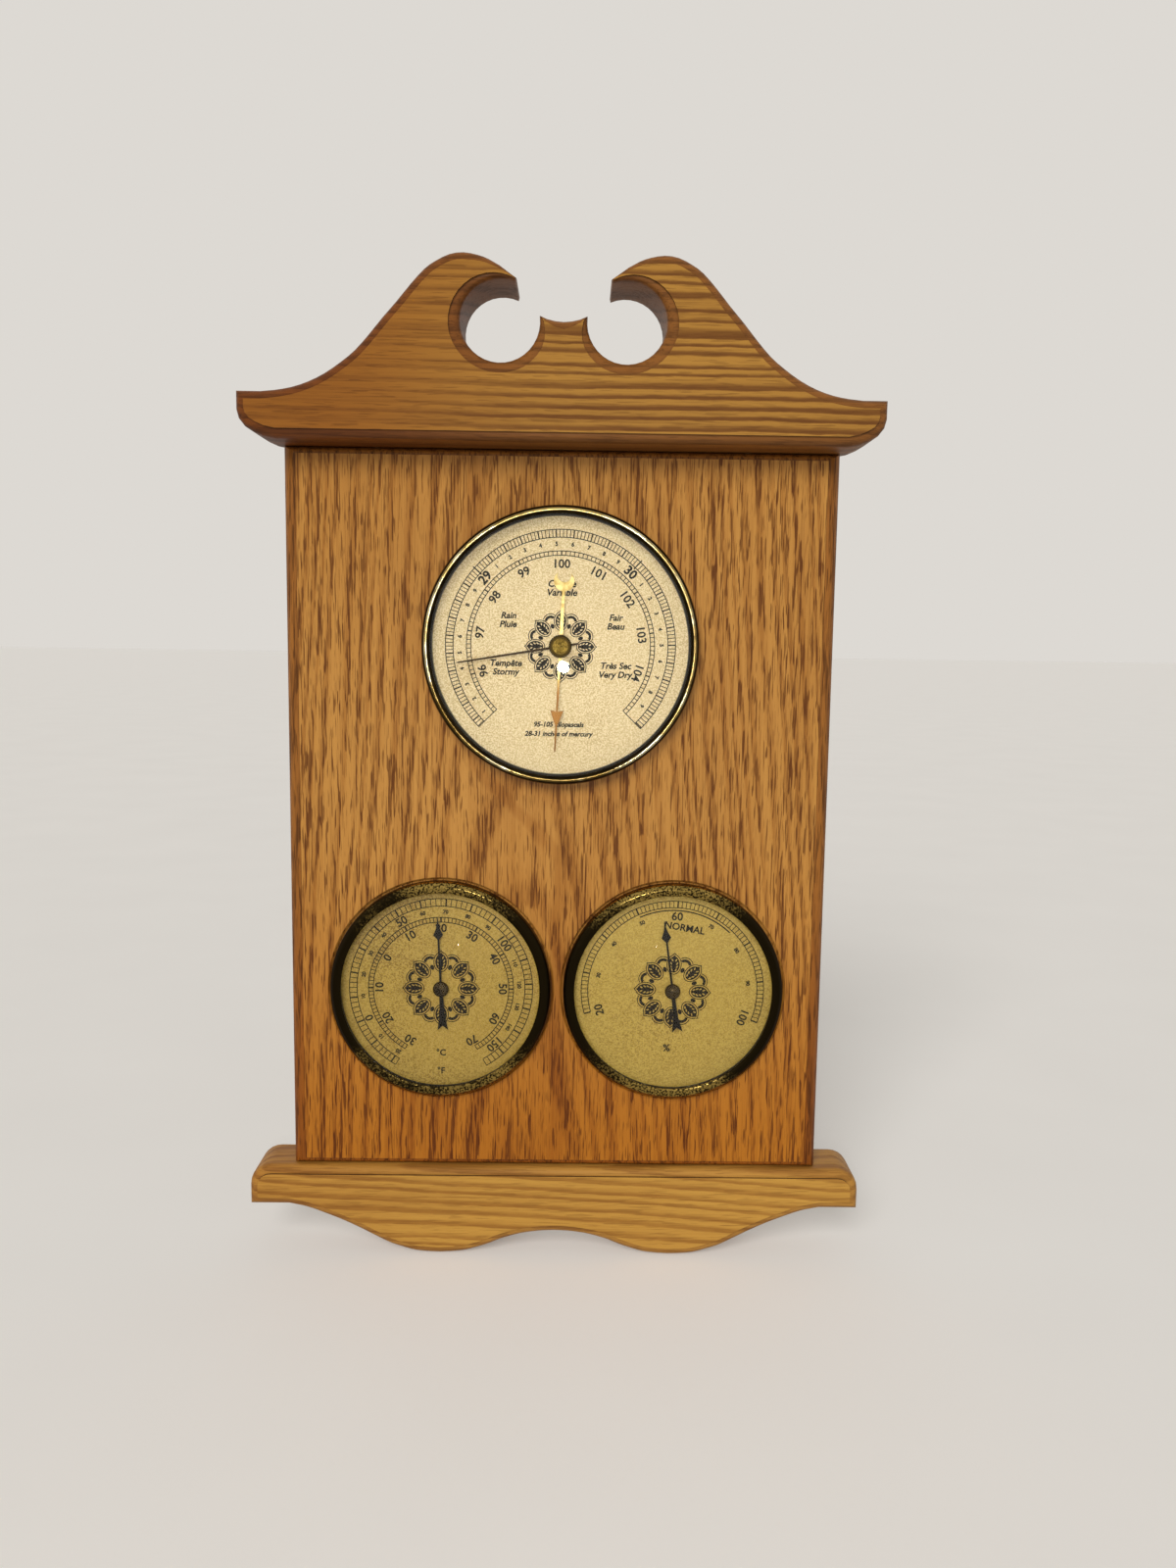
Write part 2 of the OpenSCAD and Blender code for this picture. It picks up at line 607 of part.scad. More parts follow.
module mov_low_plate() {
    color([0.72, 0.7, 0.6]) at_baro() difference() {
        union() {
            disc(mov_plate_r, low_plate_z, mov_plate_t);
            for (p = mov_screw_at) translate([p[0], p[1], 0])
                disc(2.2, floor_z, spacer_h + 0.1, $fn = 32);
        }
        translate([0, pivot_y, 0]) disc(arbor_r + shaft_gap, 0, 9, $fn = 32);
        for (p = mov_screw_at) translate([p[0], p[1], 0]) disc(0.95, 0, 9, $fn = 24);
        translate([adjust_at[0], adjust_at[1], 0]) disc(1.5, 0, 9, $fn = 24);
    }
}
module mov_top_plate() {
    color([0.78, 0.66, 0.35]) at_baro() difference() {
        translate([0, 0, top_plate_z]) linear_extrude(top_plate_t) let (half = [
            [top_half_w, -top_low], [top_half_w, -0.55 * top_low], [top_waist, -0.25 * top_low],
            [top_waist, 0.47 * top_arm], [top_half_w, 0.65 * top_arm], [top_half_w, top_arm],
            [0.8 * top_waist, top_crown]]) polygon(concat(half, mirrored(half)));
        disc(arbor_r + shaft_gap, top_plate_z - 1, 9, $fn = 32);
        translate([0, pivot_y, 0]) disc(arbor_r + shaft_gap, top_plate_z - 1, 9, $fn = 32);
    }
}
module mov_pillars() {
    z = low_plate_z + mov_plate_t;
    color([0.8, 0.68, 0.38]) at_baro() for (p = pillar_at) translate([p[0], p[1], 0])
        disc(pillar_r, z, top_plate_z - z, $fn = 32);
}
module pillar_screws() {
    color([0.6, 0.6, 0.62]) at_baro() for (p = pillar_at)
        translate([p[0], p[1], top_plate_z + top_plate_t]) screw(1.4, 0.9, 0.7, 0);
}
module capsule() {
    z = capsule_z;
    r = capsule_r;
    mid = capsule_h / 2;
    color([0.8, 0.8, 0.78]) at_baro() {
        disc(3, low_plate_z + mov_plate_t, 0.9, $fn = 32);
        rotate_extrude($fn = 64) polygon([[0, z], [r * 0.25, z], [r * 0.33, z + 0.4],
            [r * 0.45, z], [r * 0.57, z + 0.4], [r * 0.69, z], [r * 0.81, z + 0.4],
            [r * 0.9, z + 0.1], [r, z + mid - 0.2], [r, z + mid + 0.2],
            [r * 0.9, z + capsule_h - 0.1], [r * 0.81, z + capsule_h - 0.4],
            [r * 0.69, z + capsule_h], [r * 0.57, z + capsule_h - 0.4],
            [r * 0.45, z + capsule_h], [r * 0.33, z + capsule_h - 0.4],
            [r * 0.25, z + capsule_h], [0, z + capsule_h]]);
        disc(1.5, z + capsule_h - 0.1, post_h + 0.1, $fn = 32);
    }
}
module main_spring() {
    leg = low_plate_z + mov_plate_t;
    x = capsule_r + 2;
    color([0.35, 0.38, 0.42]) at_baro() {
        translate([-x - 1.2, -6, spring_z]) cube([x + 7.2, 12, spring_t]);
        translate([-x - 1.2, -6, leg]) cube([1.2, 12, spring_z - leg + 0.1]);
    }
}
module lifting_arm() {
    color([0.7, 0.68, 0.6]) at_baro() {
        translate([2.5, 0, spring_z + spring_t]) linear_extrude(0.5)
            polygon([[-1.6, -1], [1.6, -1], [9, 11], [8, 13], [5.6, 11.6]]);
        translate([9.6, 11, spring_z - 3.5]) cube([1.4, 1.4, 4.1 + spring_t]);
    }
}
module hairspring() {
    color([0.4, 0.45, 0.6]) at_baro() translate([0, 0, hair_z])
        spiral(hair_r0, hair_turns, hair_pitch, hair_w, hair_h, 0, 20);
}
module hairspring_post() {
    color([0.8, 0.66, 0.35]) at_baro() translate([hair_post_r, 0, 0])
        disc(hair_pin_r, top_plate_z + top_plate_t, 1.8, $fn = 24);
}
module movement_screws() {
    color([0.6, 0.6, 0.62]) at_baro() for (p = mov_screw_at)
        translate([p[0], p[1], can_back]) mirror([0, 0, 1]) screw(1.9, 0.8, 0.9, mov_screw_len);
}
module adjusting_screw() {
    color([0.78, 0.66, 0.35]) at_baro() translate([adjust_at[0], adjust_at[1], floor_z - 0.6])
        difference() {
            union() {
                cylinder(r = 2, h = 1.4, $fn = 32);
                cylinder(r = 1.4, h = 4.6, $fn = 24);
            }
            translate([-3, -0.3, -0.5]) cube([6, 0.6, 1]);
        }
}

// THERMOMETER AND HYGROMETER, each piece drawn about its dial's axis
module at_thermo() { front(-small_x, -small_drop) children(); }
module at_hygro() { front(small_x, -small_drop) children(); }
module small_case(vents) {
    difference() {
        union() {
            disc(small_can_r, small_back, seat_z - small_back + small_flange_t);
            disc(small_flange_r, seat_z, small_flange_t);
        }
        disc(small_can_r - 0.6, small_floor, 40);
        for (s = [-1, 1]) translate([s * bridge_x, 0, 0]) disc(0.8, 0, 9, $fn = 24);
        for (i = [0 : vents - 1]) rotate(i * 360 / vents) translate([25, 0, 0])
            disc(1.8, 0, 9, $fn = 24);
    }
    difference() {
        disc(2.4, small_floor - 0.1, 1.7, $fn = 32);
        disc(arbor_r + shaft_gap, small_floor, 9, $fn = 32);
    }
}
module small_dial() { ring(1.6, small_dial_r, small_dial_z, small_dial_t); }
module small_spacer() { ring(small_lip_r + 0.4, small_dial_r, small_dial_top, small_ring_h); }
function dome(r) = sqrt(dome_r * dome_r - r * r) - sqrt(dome_r * dome_r - glass_r * glass_r);
module small_glass() {
    n = 16;
    rotate_extrude($fn = 96) polygon(concat(
        [for (i = [0 : n]) let (r = glass_r * i / n) [r, glass_edge_z + dome(r)]],
        [for (i = [n : -1 : 0]) let (r = glass_r * i / n) [r, glass_edge_z + dome_t + dome(r)]]));
}
module small_bezel() {
    r = small_bezel_r;
    e = glass_edge_z + dome_t;
    l = e + dome(small_lip_r);
    g = glass_r + 0.3;
    rotate_extrude($fn = 96) polygon([[r - 1.1, seat_z], [r, seat_z], [r, e - 0.2],
        [r - 0.35, e + 0.9], [r - 1.2, l + 0.4], [r - 2.1, l + 0.75], [small_lip_r + 0.7, l + 0.75],
        [small_lip_r, l + 0.35], [small_lip_r, l + 0.03], [glass_r - 1, e + dome(glass_r - 1) + 0.03],
        [g, e + 0.03], [r - 1.1, e - 0.3]]);
}
module small_pointer(deg) {
    l = small_pointer_len;
    // half of the arrow from the centre to its tip, and half of its forked tail
    half = [[0.45, 0], [0.35, l - 1.25 * head_at], [head_w, l - head_at],
        [0.75, l - 0.65 * head_at], [0.3, l - 0.35 * head_at], [0.15, l - 0.6], [0, l]];
    tail = [[0, -0.89 * tail_len], [tail_w, -tail_len], [1, -0.64 * tail_len], [0.6, 0.5]];
    translate([0, 0, small_pointer_z]) rotate(-deg) linear_extrude(pointer_t) difference() {
        union() {
            polygon(concat(half, [for (p = mirrored(half)) if (p[0] != 0) p]));
            polygon(concat(tail, [for (p = mirrored(tail)) if (p[0] != 0) p]));
            circle(r = eye_r, $fn = 40);
        }
        circle(r = hub_stem_r, $fn = 32);
    }
}
module small_hub() {
    z = small_pointer_z;
    r = small_hub_r;
    rotate_extrude($fn = 48) polygon(concat([[0, z - hub_stem], [hub_stem_r, z - hub_stem],
        [hub_stem_r, z + pointer_t], [r, z + pointer_t]],
        [for (a = [15 : 15 : 90]) [r * cos(a), z + pointer_t + 0.72 * r * sin(a)]]));
}
module small_arbor() {
    disc(arbor_r, small_floor, small_pointer_z - hub_stem - small_floor, $fn = 32);
    disc(coil_r0 - coil_w / 2 - coil_gap, coil_z - 0.2, coil_h + 0.4, $fn = 32);
}
module small_bridge() {
    difference() {
        union() {
            translate([-bridge_x - 2, -2.5, bridge_z]) cube([2 * bridge_x + 4, 5, bridge_t]);
            for (s = [-1, 1]) translate([s * bridge_x, 0, 0])
                disc(1.7, small_floor, bridge_z - small_floor + 0.1, $fn = 32);
        }
        disc(arbor_r + shaft_gap, bridge_z - 1, 9, $fn = 32);
        for (s = [-1, 1]) translate([s * bridge_x, 0, 0]) disc(0.7, 0, small_floor + 4, $fn = 24);
    }
}
module small_coil() {
    translate([0, 0, coil_z]) spiral(coil_r0, coil_turns, coil_pitch, coil_w, coil_h, 90, 24);
}
module small_coil_post() {
    translate([0, coil_post_r, 0])
        disc(coil_pin_r, small_floor, coil_z + coil_h - small_floor + 0.25, $fn = 24);
}
module small_screws() {
    for (s = [-1, 1]) translate([s * bridge_x, 0, small_back]) mirror([0, 0, 1])
        screw(1.7, 0.9, 0.7, 4);
}

module thermo_case() { color([0.62, 0.6, 0.55]) at_thermo() small_case(0); }
module thermo_dial() { color([0.72, 0.6, 0.3]) at_thermo() small_dial(); }
module thermo_spacer() { color([0.06, 0.05, 0.05]) at_thermo() small_spacer(); }
module thermo_glass() { color([0.8, 0.9, 0.95, 0.3]) at_thermo() small_glass(); }
module thermo_bezel() { color([0.5, 0.38, 0.15]) at_thermo() small_bezel(); }
module thermo_pointer() { color([0.05, 0.05, 0.05]) at_thermo() small_pointer(thermo_deg); }
module thermo_hub() { color([0.2, 0.17, 0.12]) at_thermo() small_hub(); }
module thermo_arbor() { color([0.75, 0.62, 0.3]) at_thermo() small_arbor(); }
module thermo_bridge() { color([0.7, 0.6, 0.35]) at_thermo() small_bridge(); }
module thermo_coil() { color([0.6, 0.5, 0.45]) at_thermo() small_coil(); }
module thermo_coil_post() { color([0.75, 0.65, 0.35]) at_thermo() small_coil_post(); }
module thermo_screws() { color([0.6, 0.6, 0.62]) at_thermo() small_screws(); }

module hygro_case() { color([0.62, 0.6, 0.55]) at_hygro() small_case(8); }
module hygro_dial() { color([0.72, 0.6, 0.3]) at_hygro() small_dial(); }
module hygro_spacer() { color([0.06, 0.05, 0.05]) at_hygro() small_spacer(); }
module hygro_glass() { color([0.8, 0.9, 0.95, 0.3]) at_hygro() small_glass(); }
module hygro_bezel() { color([0.5, 0.38, 0.15]) at_hygro() small_bezel(); }
module hygro_pointer() { color([0.05, 0.05, 0.05]) at_hygro() small_pointer(hygro_deg); }
module hygro_hub() { color([0.2, 0.17, 0.12]) at_hygro() small_hub(); }
module hygro_arbor() { color([0.75, 0.62, 0.3]) at_hygro() small_arbor(); }
module hygro_bridge() { color([0.7, 0.6, 0.35]) at_hygro() small_bridge(); }
module hygro_coil() { color([0.75, 0.7, 0.6]) at_hygro() small_coil(); }
module hygro_coil_post() { color([0.75, 0.65, 0.35]) at_hygro() small_coil_post(); }
module hygro_screws() { color([0.6, 0.6, 0.62]) at_hygro() small_screws(); }

body_board();
pediment();
base_board();
pediment_dowels();
base_dowels();
hanger_plate();
hanger_screws();
baro_case();
baro_dial();
baro_spacer();
baro_glass();
baro_bezel();
baro_pointer();
set_hand();
set_shaft();
set_knob();
baro_arbor();
pinion();
sector();
sector_arbor();
mov_low_plate();
mov_top_plate();
mov_pillars();
pillar_screws();
capsule();
main_spring();
lifting_arm();
hairspring();
hairspring_post();
movement_screws();
adjusting_screw();
thermo_case();
thermo_dial();
thermo_spacer();
thermo_glass();
thermo_bezel();
thermo_pointer();
thermo_hub();
thermo_arbor();
thermo_bridge();
thermo_coil();
thermo_coil_post();
thermo_screws();
hygro_case();
hygro_dial();
hygro_spacer();
hygro_glass();
hygro_bezel();
hygro_pointer();
hygro_hub();
hygro_arbor();
hygro_bridge();
hygro_coil();
hygro_coil_post();
hygro_screws();
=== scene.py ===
"""The looks of a wall weather station: three oak boards with a barometer above
and a thermometer and a hygrometer side by side below."""

from math import atan2, cos, degrees, pi, radians, sin, sqrt, tau

import bpy
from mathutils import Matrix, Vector


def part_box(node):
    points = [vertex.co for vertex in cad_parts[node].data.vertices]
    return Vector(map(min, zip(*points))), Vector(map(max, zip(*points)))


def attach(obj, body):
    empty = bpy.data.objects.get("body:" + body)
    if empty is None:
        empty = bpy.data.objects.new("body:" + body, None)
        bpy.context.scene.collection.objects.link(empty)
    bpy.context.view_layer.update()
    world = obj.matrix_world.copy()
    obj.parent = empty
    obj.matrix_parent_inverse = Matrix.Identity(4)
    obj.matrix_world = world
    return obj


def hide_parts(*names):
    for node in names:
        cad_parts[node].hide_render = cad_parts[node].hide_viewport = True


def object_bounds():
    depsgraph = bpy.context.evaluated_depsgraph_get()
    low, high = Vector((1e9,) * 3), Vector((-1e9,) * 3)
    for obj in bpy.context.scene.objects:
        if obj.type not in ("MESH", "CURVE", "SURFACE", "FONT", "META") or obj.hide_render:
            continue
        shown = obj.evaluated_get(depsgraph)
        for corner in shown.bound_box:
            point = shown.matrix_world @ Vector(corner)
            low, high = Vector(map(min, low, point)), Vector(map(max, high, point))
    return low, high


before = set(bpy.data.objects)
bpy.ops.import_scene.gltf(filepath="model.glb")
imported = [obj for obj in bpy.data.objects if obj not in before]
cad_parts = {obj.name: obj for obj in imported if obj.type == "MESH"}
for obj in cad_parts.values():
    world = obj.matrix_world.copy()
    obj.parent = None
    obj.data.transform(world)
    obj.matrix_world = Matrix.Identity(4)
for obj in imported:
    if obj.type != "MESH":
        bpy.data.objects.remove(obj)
cad_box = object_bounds()

# CAMERA
# A phone about 0.45 m in front of the station, at the barometer's height, looking
# 7 degrees down. Its lens is 27 mm for a 36 mm long side, so the boards' sides show.
bpy.ops.object.camera_add(
    location=(0.006, -0.4712, -0.0615),
    rotation=(radians(83.286), radians(-0.786), radians(-0.564)),
)
camera = bpy.context.object
camera.data.lens = 27
camera.data.clip_start = 0.01
bpy.context.scene.camera = camera
bpy.context.scene.view_settings.view_transform = "Standard"


# FLOOR AND LIGHT
# The station stands on a pale floor in a plain studio: soft light from the upper left
# and all round, and a small lamp beside the lens that the glasses and brass mirror.
class Tone:
    """A socket of a finish. Arithmetic on tones adds Math nodes to its tree."""

    def __init__(self, socket):
        self.socket = socket
        self.tree = socket.id_data

    def node(self, kind, settings, inputs, output=0):
        """Adds any other node: its settings first, then the values or links of its sockets."""
        made = self.tree.nodes.new("ShaderNode" + kind)
        for name, value in settings.items():
            setattr(made, name, value)
        for name, value in inputs.items():
            if isinstance(value, Tone):
                self.tree.links.new(value.socket, made.inputs[name])
            else:
                made.inputs[name].default_value = value
        return Tone(made.outputs[output])

    def math(self, operation, first, second=0.0):
        return self.node("Math", {"operation": operation}, {0: first, 1: second})

    def __add__(self, other):
        return self.math("ADD", self, other)

    def __sub__(self, other):
        return self.math("SUBTRACT", self, other)

    def __rsub__(self, other):
        return self.math("SUBTRACT", other, self)

    def __mul__(self, other):
        return self.math("MULTIPLY", self, other)

    def __truediv__(self, other):
        return self.math("DIVIDE", self, other)

    def __pow__(self, other):
        return self.math("POWER", self, other)

    __radd__ = __add__
    __rmul__ = __mul__

    def fade(self, low, high):
        """0 below low, 1 above high and a soft step between them."""
        ends = {"Value": self, "From Min": low, "From Max": high}
        return self.node("MapRange", {"interpolation_type": "SMOOTHSTEP"}, ends)

    def mix(self, first, second):
        """The first colour where this tone is 0 and the second where it is 1."""
        return self.node("Mix", {"data_type": "RGBA"}, {0: self, 6: first, 7: second}, 2)

    def noise(self, scale, detail=2.0):
        """Noise between 0 and 1 at these coordinates."""
        return self.node("TexNoise", {}, {"Vector": self, "Scale": scale, "Detail": detail})

    def vector(self, x, y, z):
        return self.node("CombineXYZ", {}, {0: x, 1: y, 2: z})

    def into(self, shader, name):
        self.tree.links.new(self.socket, shader.inputs[name])


def colour(red, green, blue):
    """A colour as a screen shows it, from 0 to 255, in the shader's linear values."""
    linear = [((c / 255 + 0.055) / 1.055) ** 2.4 for c in (red, green, blue)]
    return (*linear, 1.0)


def new_finish(name, **values):
    """A material, its Principled shader and its Object coordinates."""
    made = bpy.data.materials.new(name)
    made.use_nodes = True
    shader = made.node_tree.nodes["Principled BSDF"]
    for key, value in values.items():
        shader.inputs[key.replace("_", " ")].default_value = value
    place = Tone(made.node_tree.nodes.new("ShaderNodeTexCoord").outputs["Object"])
    return made, shader, place


floor_gap = 0.0002
bpy.ops.mesh.primitive_plane_add(size=60, location=(0, 0, cad_box[0].z - floor_gap))
floor = bpy.context.object
floor.name = "studio_floor"
pale_floor, shader, place = new_finish("pale_floor", Roughness=0.75)
place.noise(9.0).mix(colour(222, 219, 214), colour(228, 225, 220)).into(shader, "Base Color")
ray = pale_floor.node_tree.nodes.new("ShaderNodeLightPath").outputs["Is Camera Ray"]
shader.inputs["Emission Color"].default_value = colour(226, 222, 216)
floor_glow = 0.24
(Tone(ray) * floor_glow).into(shader, "Emission Strength")
floor.data.materials.append(pale_floor)


def studio_lamp(kind, name, place, target, power):
    """A lamp at place that faces target."""
    bpy.ops.object.light_add(type=kind, location=place)
    lamp = bpy.context.object
    lamp.name = name
    lamp.data.energy = power
    aim = Vector(target) - Vector(place)
    lamp.rotation_mode = "QUATERNION"
    lamp.rotation_quaternion = aim.to_track_quat("-Z", "Y")
    return lamp


middle = (0, 0, -0.11)
soft_sky = studio_lamp("SUN", "soft_sky", (-0.42, -1.5, 0.85), middle, 2.0)
soft_sky.data.angle = radians(30)
soft_sky.visible_glossy = False
soft_sky.visible_transmission = False
lens_lamp = studio_lamp("AREA", "lens_lamp", (-0.004, -0.485, -0.078), middle, 0.2)
lens_lamp.data.shape = "DISK"
lens_lamp.data.size = 0.009

world = bpy.data.worlds.new("studio")
world.use_nodes = True
bpy.context.scene.world = world
backdrop = world.node_tree.nodes["Background"]
light_path = world.node_tree.nodes.new("ShaderNodeLightPath")
seen = (
    Tone(light_path.outputs["Is Camera Ray"])
    + Tone(light_path.outputs["Is Glossy Ray"])
    + Tone(light_path.outputs["Is Transmission Ray"])
) * (1 - Tone(light_path.outputs["Diffuse Depth"]).fade(0.2, 0.8))
backdrop.inputs["Color"].default_value = colour(226, 222, 216)
fill_strength = 0.40
seen_strength = 0.95
(seen.fade(0.0, 0.5) * (seen_strength - fill_strength) + fill_strength).into(backdrop, "Strength")

# OAK BOARDS
# Three boards of red oak, sawn to outline, routed with a small step and a rounded edge,
# sanded, stained golden brown and varnished. Dowels join them end to end.


def eased(node, name, ease, flat=0.5, smooth=32, sharp=40):
    """A copy of a CAD piece with its triangles merged and its sharp edges eased. Its flat
    faces are made whole first, unless flat is 0, and stay flat beside the eased edges."""
    bpy.ops.object.select_all(action="DESELECT")
    piece = bpy.data.objects.new(name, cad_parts[node].data.copy())
    bpy.context.collection.objects.link(piece)
    piece.data.materials.clear()
    bpy.context.view_layer.objects.active = piece
    piece.select_set(True)
    bpy.ops.object.mode_set(mode="EDIT")
    bpy.ops.mesh.select_all(action="SELECT")
    bpy.ops.mesh.customdata_custom_splitnormals_clear()
    bpy.ops.mesh.remove_doubles(threshold=1e-6)
    if flat:
        bpy.ops.mesh.dissolve_limited(angle_limit=radians(flat))
    bpy.ops.object.mode_set(mode="OBJECT")
    if ease:
        bevel = piece.modifiers.new("Ease", "BEVEL")
        bevel.width = ease
        bevel.segments = 2
        bevel.limit_method = "ANGLE"
        bevel.angle_limit = radians(sharp)
        bpy.ops.object.modifier_apply(modifier=bevel.name)
    bpy.ops.object.shade_smooth_by_angle(angle=radians(smooth))
    for face in piece.data.polygons:
        if len(face.vertices) > 6 or abs(face.normal.y) > 0.9999:
            face.use_smooth = False
    return piece


def oak(name, along, pith, taper, spacing, seed, tinge, stripe, pore, pale, tan, stain,
        bend=None, calm=None):
    """Oak sawn along one axis ("X" or "Z"). pith is where the rings' centre lies, across the
    board and in depth, taper how fast the rings widen along it and spacing their width. tinge
    is where along the board a deeper tone begins and ends to fade, and that tone. stripe is
    how dark the rings are and pore how dark the pores. bend is a darker vein: where it starts,
    where it ends and how far it runs sideways. calm is where the stripes set in."""
    made, shader, place = new_finish(name, Coat_Roughness=0.3, Coat_Weight=0.08,
                                     Specular_IOR_Level=0.25)
    axes = place.node("SeparateXYZ", {}, {0: place})
    x, y, z = axes, Tone(axes.socket.node.outputs[1]), Tone(axes.socket.node.outputs[2])
    length, across = (z, x) if along == "Z" else (x, z)
    sway = place.vector(across * 9 + seed, y * 9, length * 2.6).noise(1.0) - 0.5
    ripple = place.vector(across * 60, y * 60, length * 22 + seed).noise(1.0) - 0.5
    fray = place.vector(across * 420, y * 420, length * 130).noise(1.0) - 0.5
    radius = ((across - pith[0]) ** 2.0 + (y - pith[1]) ** 2.0) ** 0.5
    radius = radius + length * taper + sway * 0.016 + ripple * 0.0014 + fray * 0.0008
    uneven = place.vector(radius * 110, seed, 0.0).noise(1.0, 1.0)
    turns = radius / spacing + uneven * 2.4
    phase = turns.math("FRACT", turns)
    early = phase.fade(0.0, 0.16) * (1 - phase.fade(0.24, 0.70))
    if calm:
        early = early * (length.fade(calm[0], calm[1]) * 0.8 + 0.2)
    bunch = place.vector(across * 130, y * 130, length * 6 + seed).noise(1.0) - 0.5
    dash = place.vector(across * 1350, y * 1350, length * 80 + seed).noise(1.0, 1.0)
    short = place.vector(across * 2100, y * 2100, length * 110 + seed).noise(1.0, 1.0)
    hair = place.vector(across * 2200, y * 2200, length * 22 + seed).noise(1.0, 1.0)
    pores = (dash + early * 0.06 + bunch * 0.14).fade(0.592, 0.652) * 0.8
    pores = pores + (short + early * 0.08 + bunch * 0.14).fade(0.58, 0.65) * 0.5
    pores = (pores + (hair + early * 0.06 + bunch * 0.1).fade(0.56, 0.70) * 0.3)
    pores = pores.fade(-0.2, 1.3) * pore
    fibre = place.vector(across * 950, y * 950, length * 9).noise(1.0) - 0.5
    streak = place.vector(across * 240, y * 240, length * 4 + seed).noise(1.0) - 0.5
    cloud = place.vector(across * 16, y * 16, length * 5 + seed).noise(1.0) - 0.5
    blend = early * stripe + fibre * 0.6 + streak * 0.6 + bunch * 0.5 + cloud * 1.1 + 0.26
    if bend:
        start, finish, reach = bend
        middle_line = across - length.fade(finish, start) * reach + ripple * 0.008
        vein = 1 - middle_line.math("ABSOLUTE", middle_line).fade(0.0012, 0.0050)
        blend = blend + vein * 0.32
    blend = blend.fade(-0.1, 1.15)
    wood = pores.mix(blend.mix(pale, tan), stain)
    begins, ends, tone = tinge
    depth = 1 - length.fade(begins, ends)
    deeper = {"data_type": "RGBA", "blend_type": "MULTIPLY"}
    wood.node("Mix", deeper, {0: depth, 6: wood, 7: (*tone, 1.0)}, 2).into(shader, "Base Color")
    (0.46 + pores * 0.22 + fibre * 0.15).into(shader, "Roughness")
    height = 1 - pores * 0.8 - early * 0.15
    bump = height.node("Bump", {}, {"Strength": 0.5, "Distance": 0.00018, "Height": height})
    bump.into(shader, "Normal")
    return made


def dress_board(piece, node, face_oak, edge_oak, step):
    """Puts the edge finish on all that lies beside or behind the board's front face, and
    on the routed step's small wall the dark corner colour: partly stain gathered in the
    corner and partly painted shade."""
    for finish in (face_oak, edge_oak, corner_stain_and_shade):
        piece.data.materials.append(finish)
    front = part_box(node)[0].y
    for face in piece.data.polygons:
        depth = face.center.y - front
        flat = abs(face.normal.y) > 0.95
        back = face.normal.y > 0.95
        wall = depth < 2 * step and abs(face.normal.y) < 0.3
        face.material_index = 0 if back or (flat and depth < step) else 2 if wall else 1
    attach(piece, "station")
    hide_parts(node)


routed_step = 0.0004
# The corner colour is partly stain and partly painted shade in the routed step's corner.
corner_stain_and_shade, shader, place = new_finish("corner_stain_and_shade", Roughness=0.6)
place.noise(900.0).mix(colour(48, 26, 10), colour(78, 46, 18)).into(shader, "Base Color")

# The upright's tinge deepens and warms its lower part, partly as the wood's tone and partly as
# painted shade.
upright_plank = {"along": "Z", "pith": (-0.012, 0.030), "taper": 0.060, "spacing": 0.0040,
                 "seed": 3.0, "tinge": (-0.270, -0.120, (0.83, 0.61, 0.20))}
upright_oak = oak(
    "oak_upright", **upright_plank, stripe=0.35, pore=1.0, bend=(-0.100, -0.150, -0.034),
    pale=colour(200, 143, 68), tan=colour(160, 102, 38), stain=colour(98, 54, 18),
)
# The edge finish is darker than the face: partly end grain and stain, partly painted shade on the
# rounded edges and sides.
upright_edge = oak(
    "oak_upright_edge", **upright_plank, stripe=0.35, pore=0.9,
    pale=colour(166, 106, 42), tan=colour(130, 78, 27), stain=colour(82, 46, 14),
)
upright = eased("body_board", "upright_board", ease=0, flat=0)
dress_board(upright, "body_board", upright_oak, upright_edge, routed_step)
thermometer_at = (-0.0457, -0.1967)
hygrometer_at = (0.0457, -0.1967)
seat_edge = 0.0465
for face in upright.data.polygons:
    x, y, z = face.center
    for centre in (thermometer_at, hygrometer_at):
        if sqrt((x - centre[0]) ** 2 + (z - centre[1]) ** 2) < seat_edge:
            face.material_index = 0

pediment_plank = {"along": "X", "pith": (-0.200, 0.045), "taper": 0.020, "spacing": 0.0036,
                  "seed": 7.0, "tinge": (-0.090, 0.010, (0.70, 0.52, 0.34))}
pediment_oak = oak(
    "oak_pediment", **pediment_plank, stripe=0.95, pore=0.45, calm=(-0.080, 0.030),
    pale=colour(178, 128, 54), tan=colour(116, 72, 26), stain=colour(92, 52, 18),
)
# Darker than the face, partly end grain and stain and partly painted shade on the rim.
pediment_edge = oak(
    "oak_pediment_edge", **pediment_plank, stripe=0.6, pore=0.5,
    pale=colour(140, 88, 36), tan=colour(108, 66, 25), stain=colour(74, 42, 14),
)
pediment = eased("pediment", "pediment_board", ease=0, flat=0)
dress_board(pediment, "pediment", pediment_oak, pediment_edge, routed_step)

apron_plank = {"along": "X", "pith": (-0.36, 0.040), "taper": 0.045, "spacing": 0.0034,
               "seed": 11.0, "tinge": (-0.130, -0.040, (0.96, 0.90, 0.84))}
apron_oak = oak(
    "oak_apron", **apron_plank, stripe=0.6, pore=0.4,
    pale=colour(200, 150, 66), tan=colour(158, 108, 42), stain=colour(116, 72, 26),
)
# Slightly darker than the face, partly end grain and stain and partly painted shade on the rim.
apron_edge = oak(
    "oak_apron_edge", **apron_plank, stripe=0.5, pore=0.4,
    pale=colour(188, 136, 60), tan=colour(148, 98, 40), stain=colour(100, 62, 22),
)
apron = eased("base_board", "apron_board", ease=0, flat=0)
dress_board(apron, "base_board", apron_oak, apron_edge, routed_step)

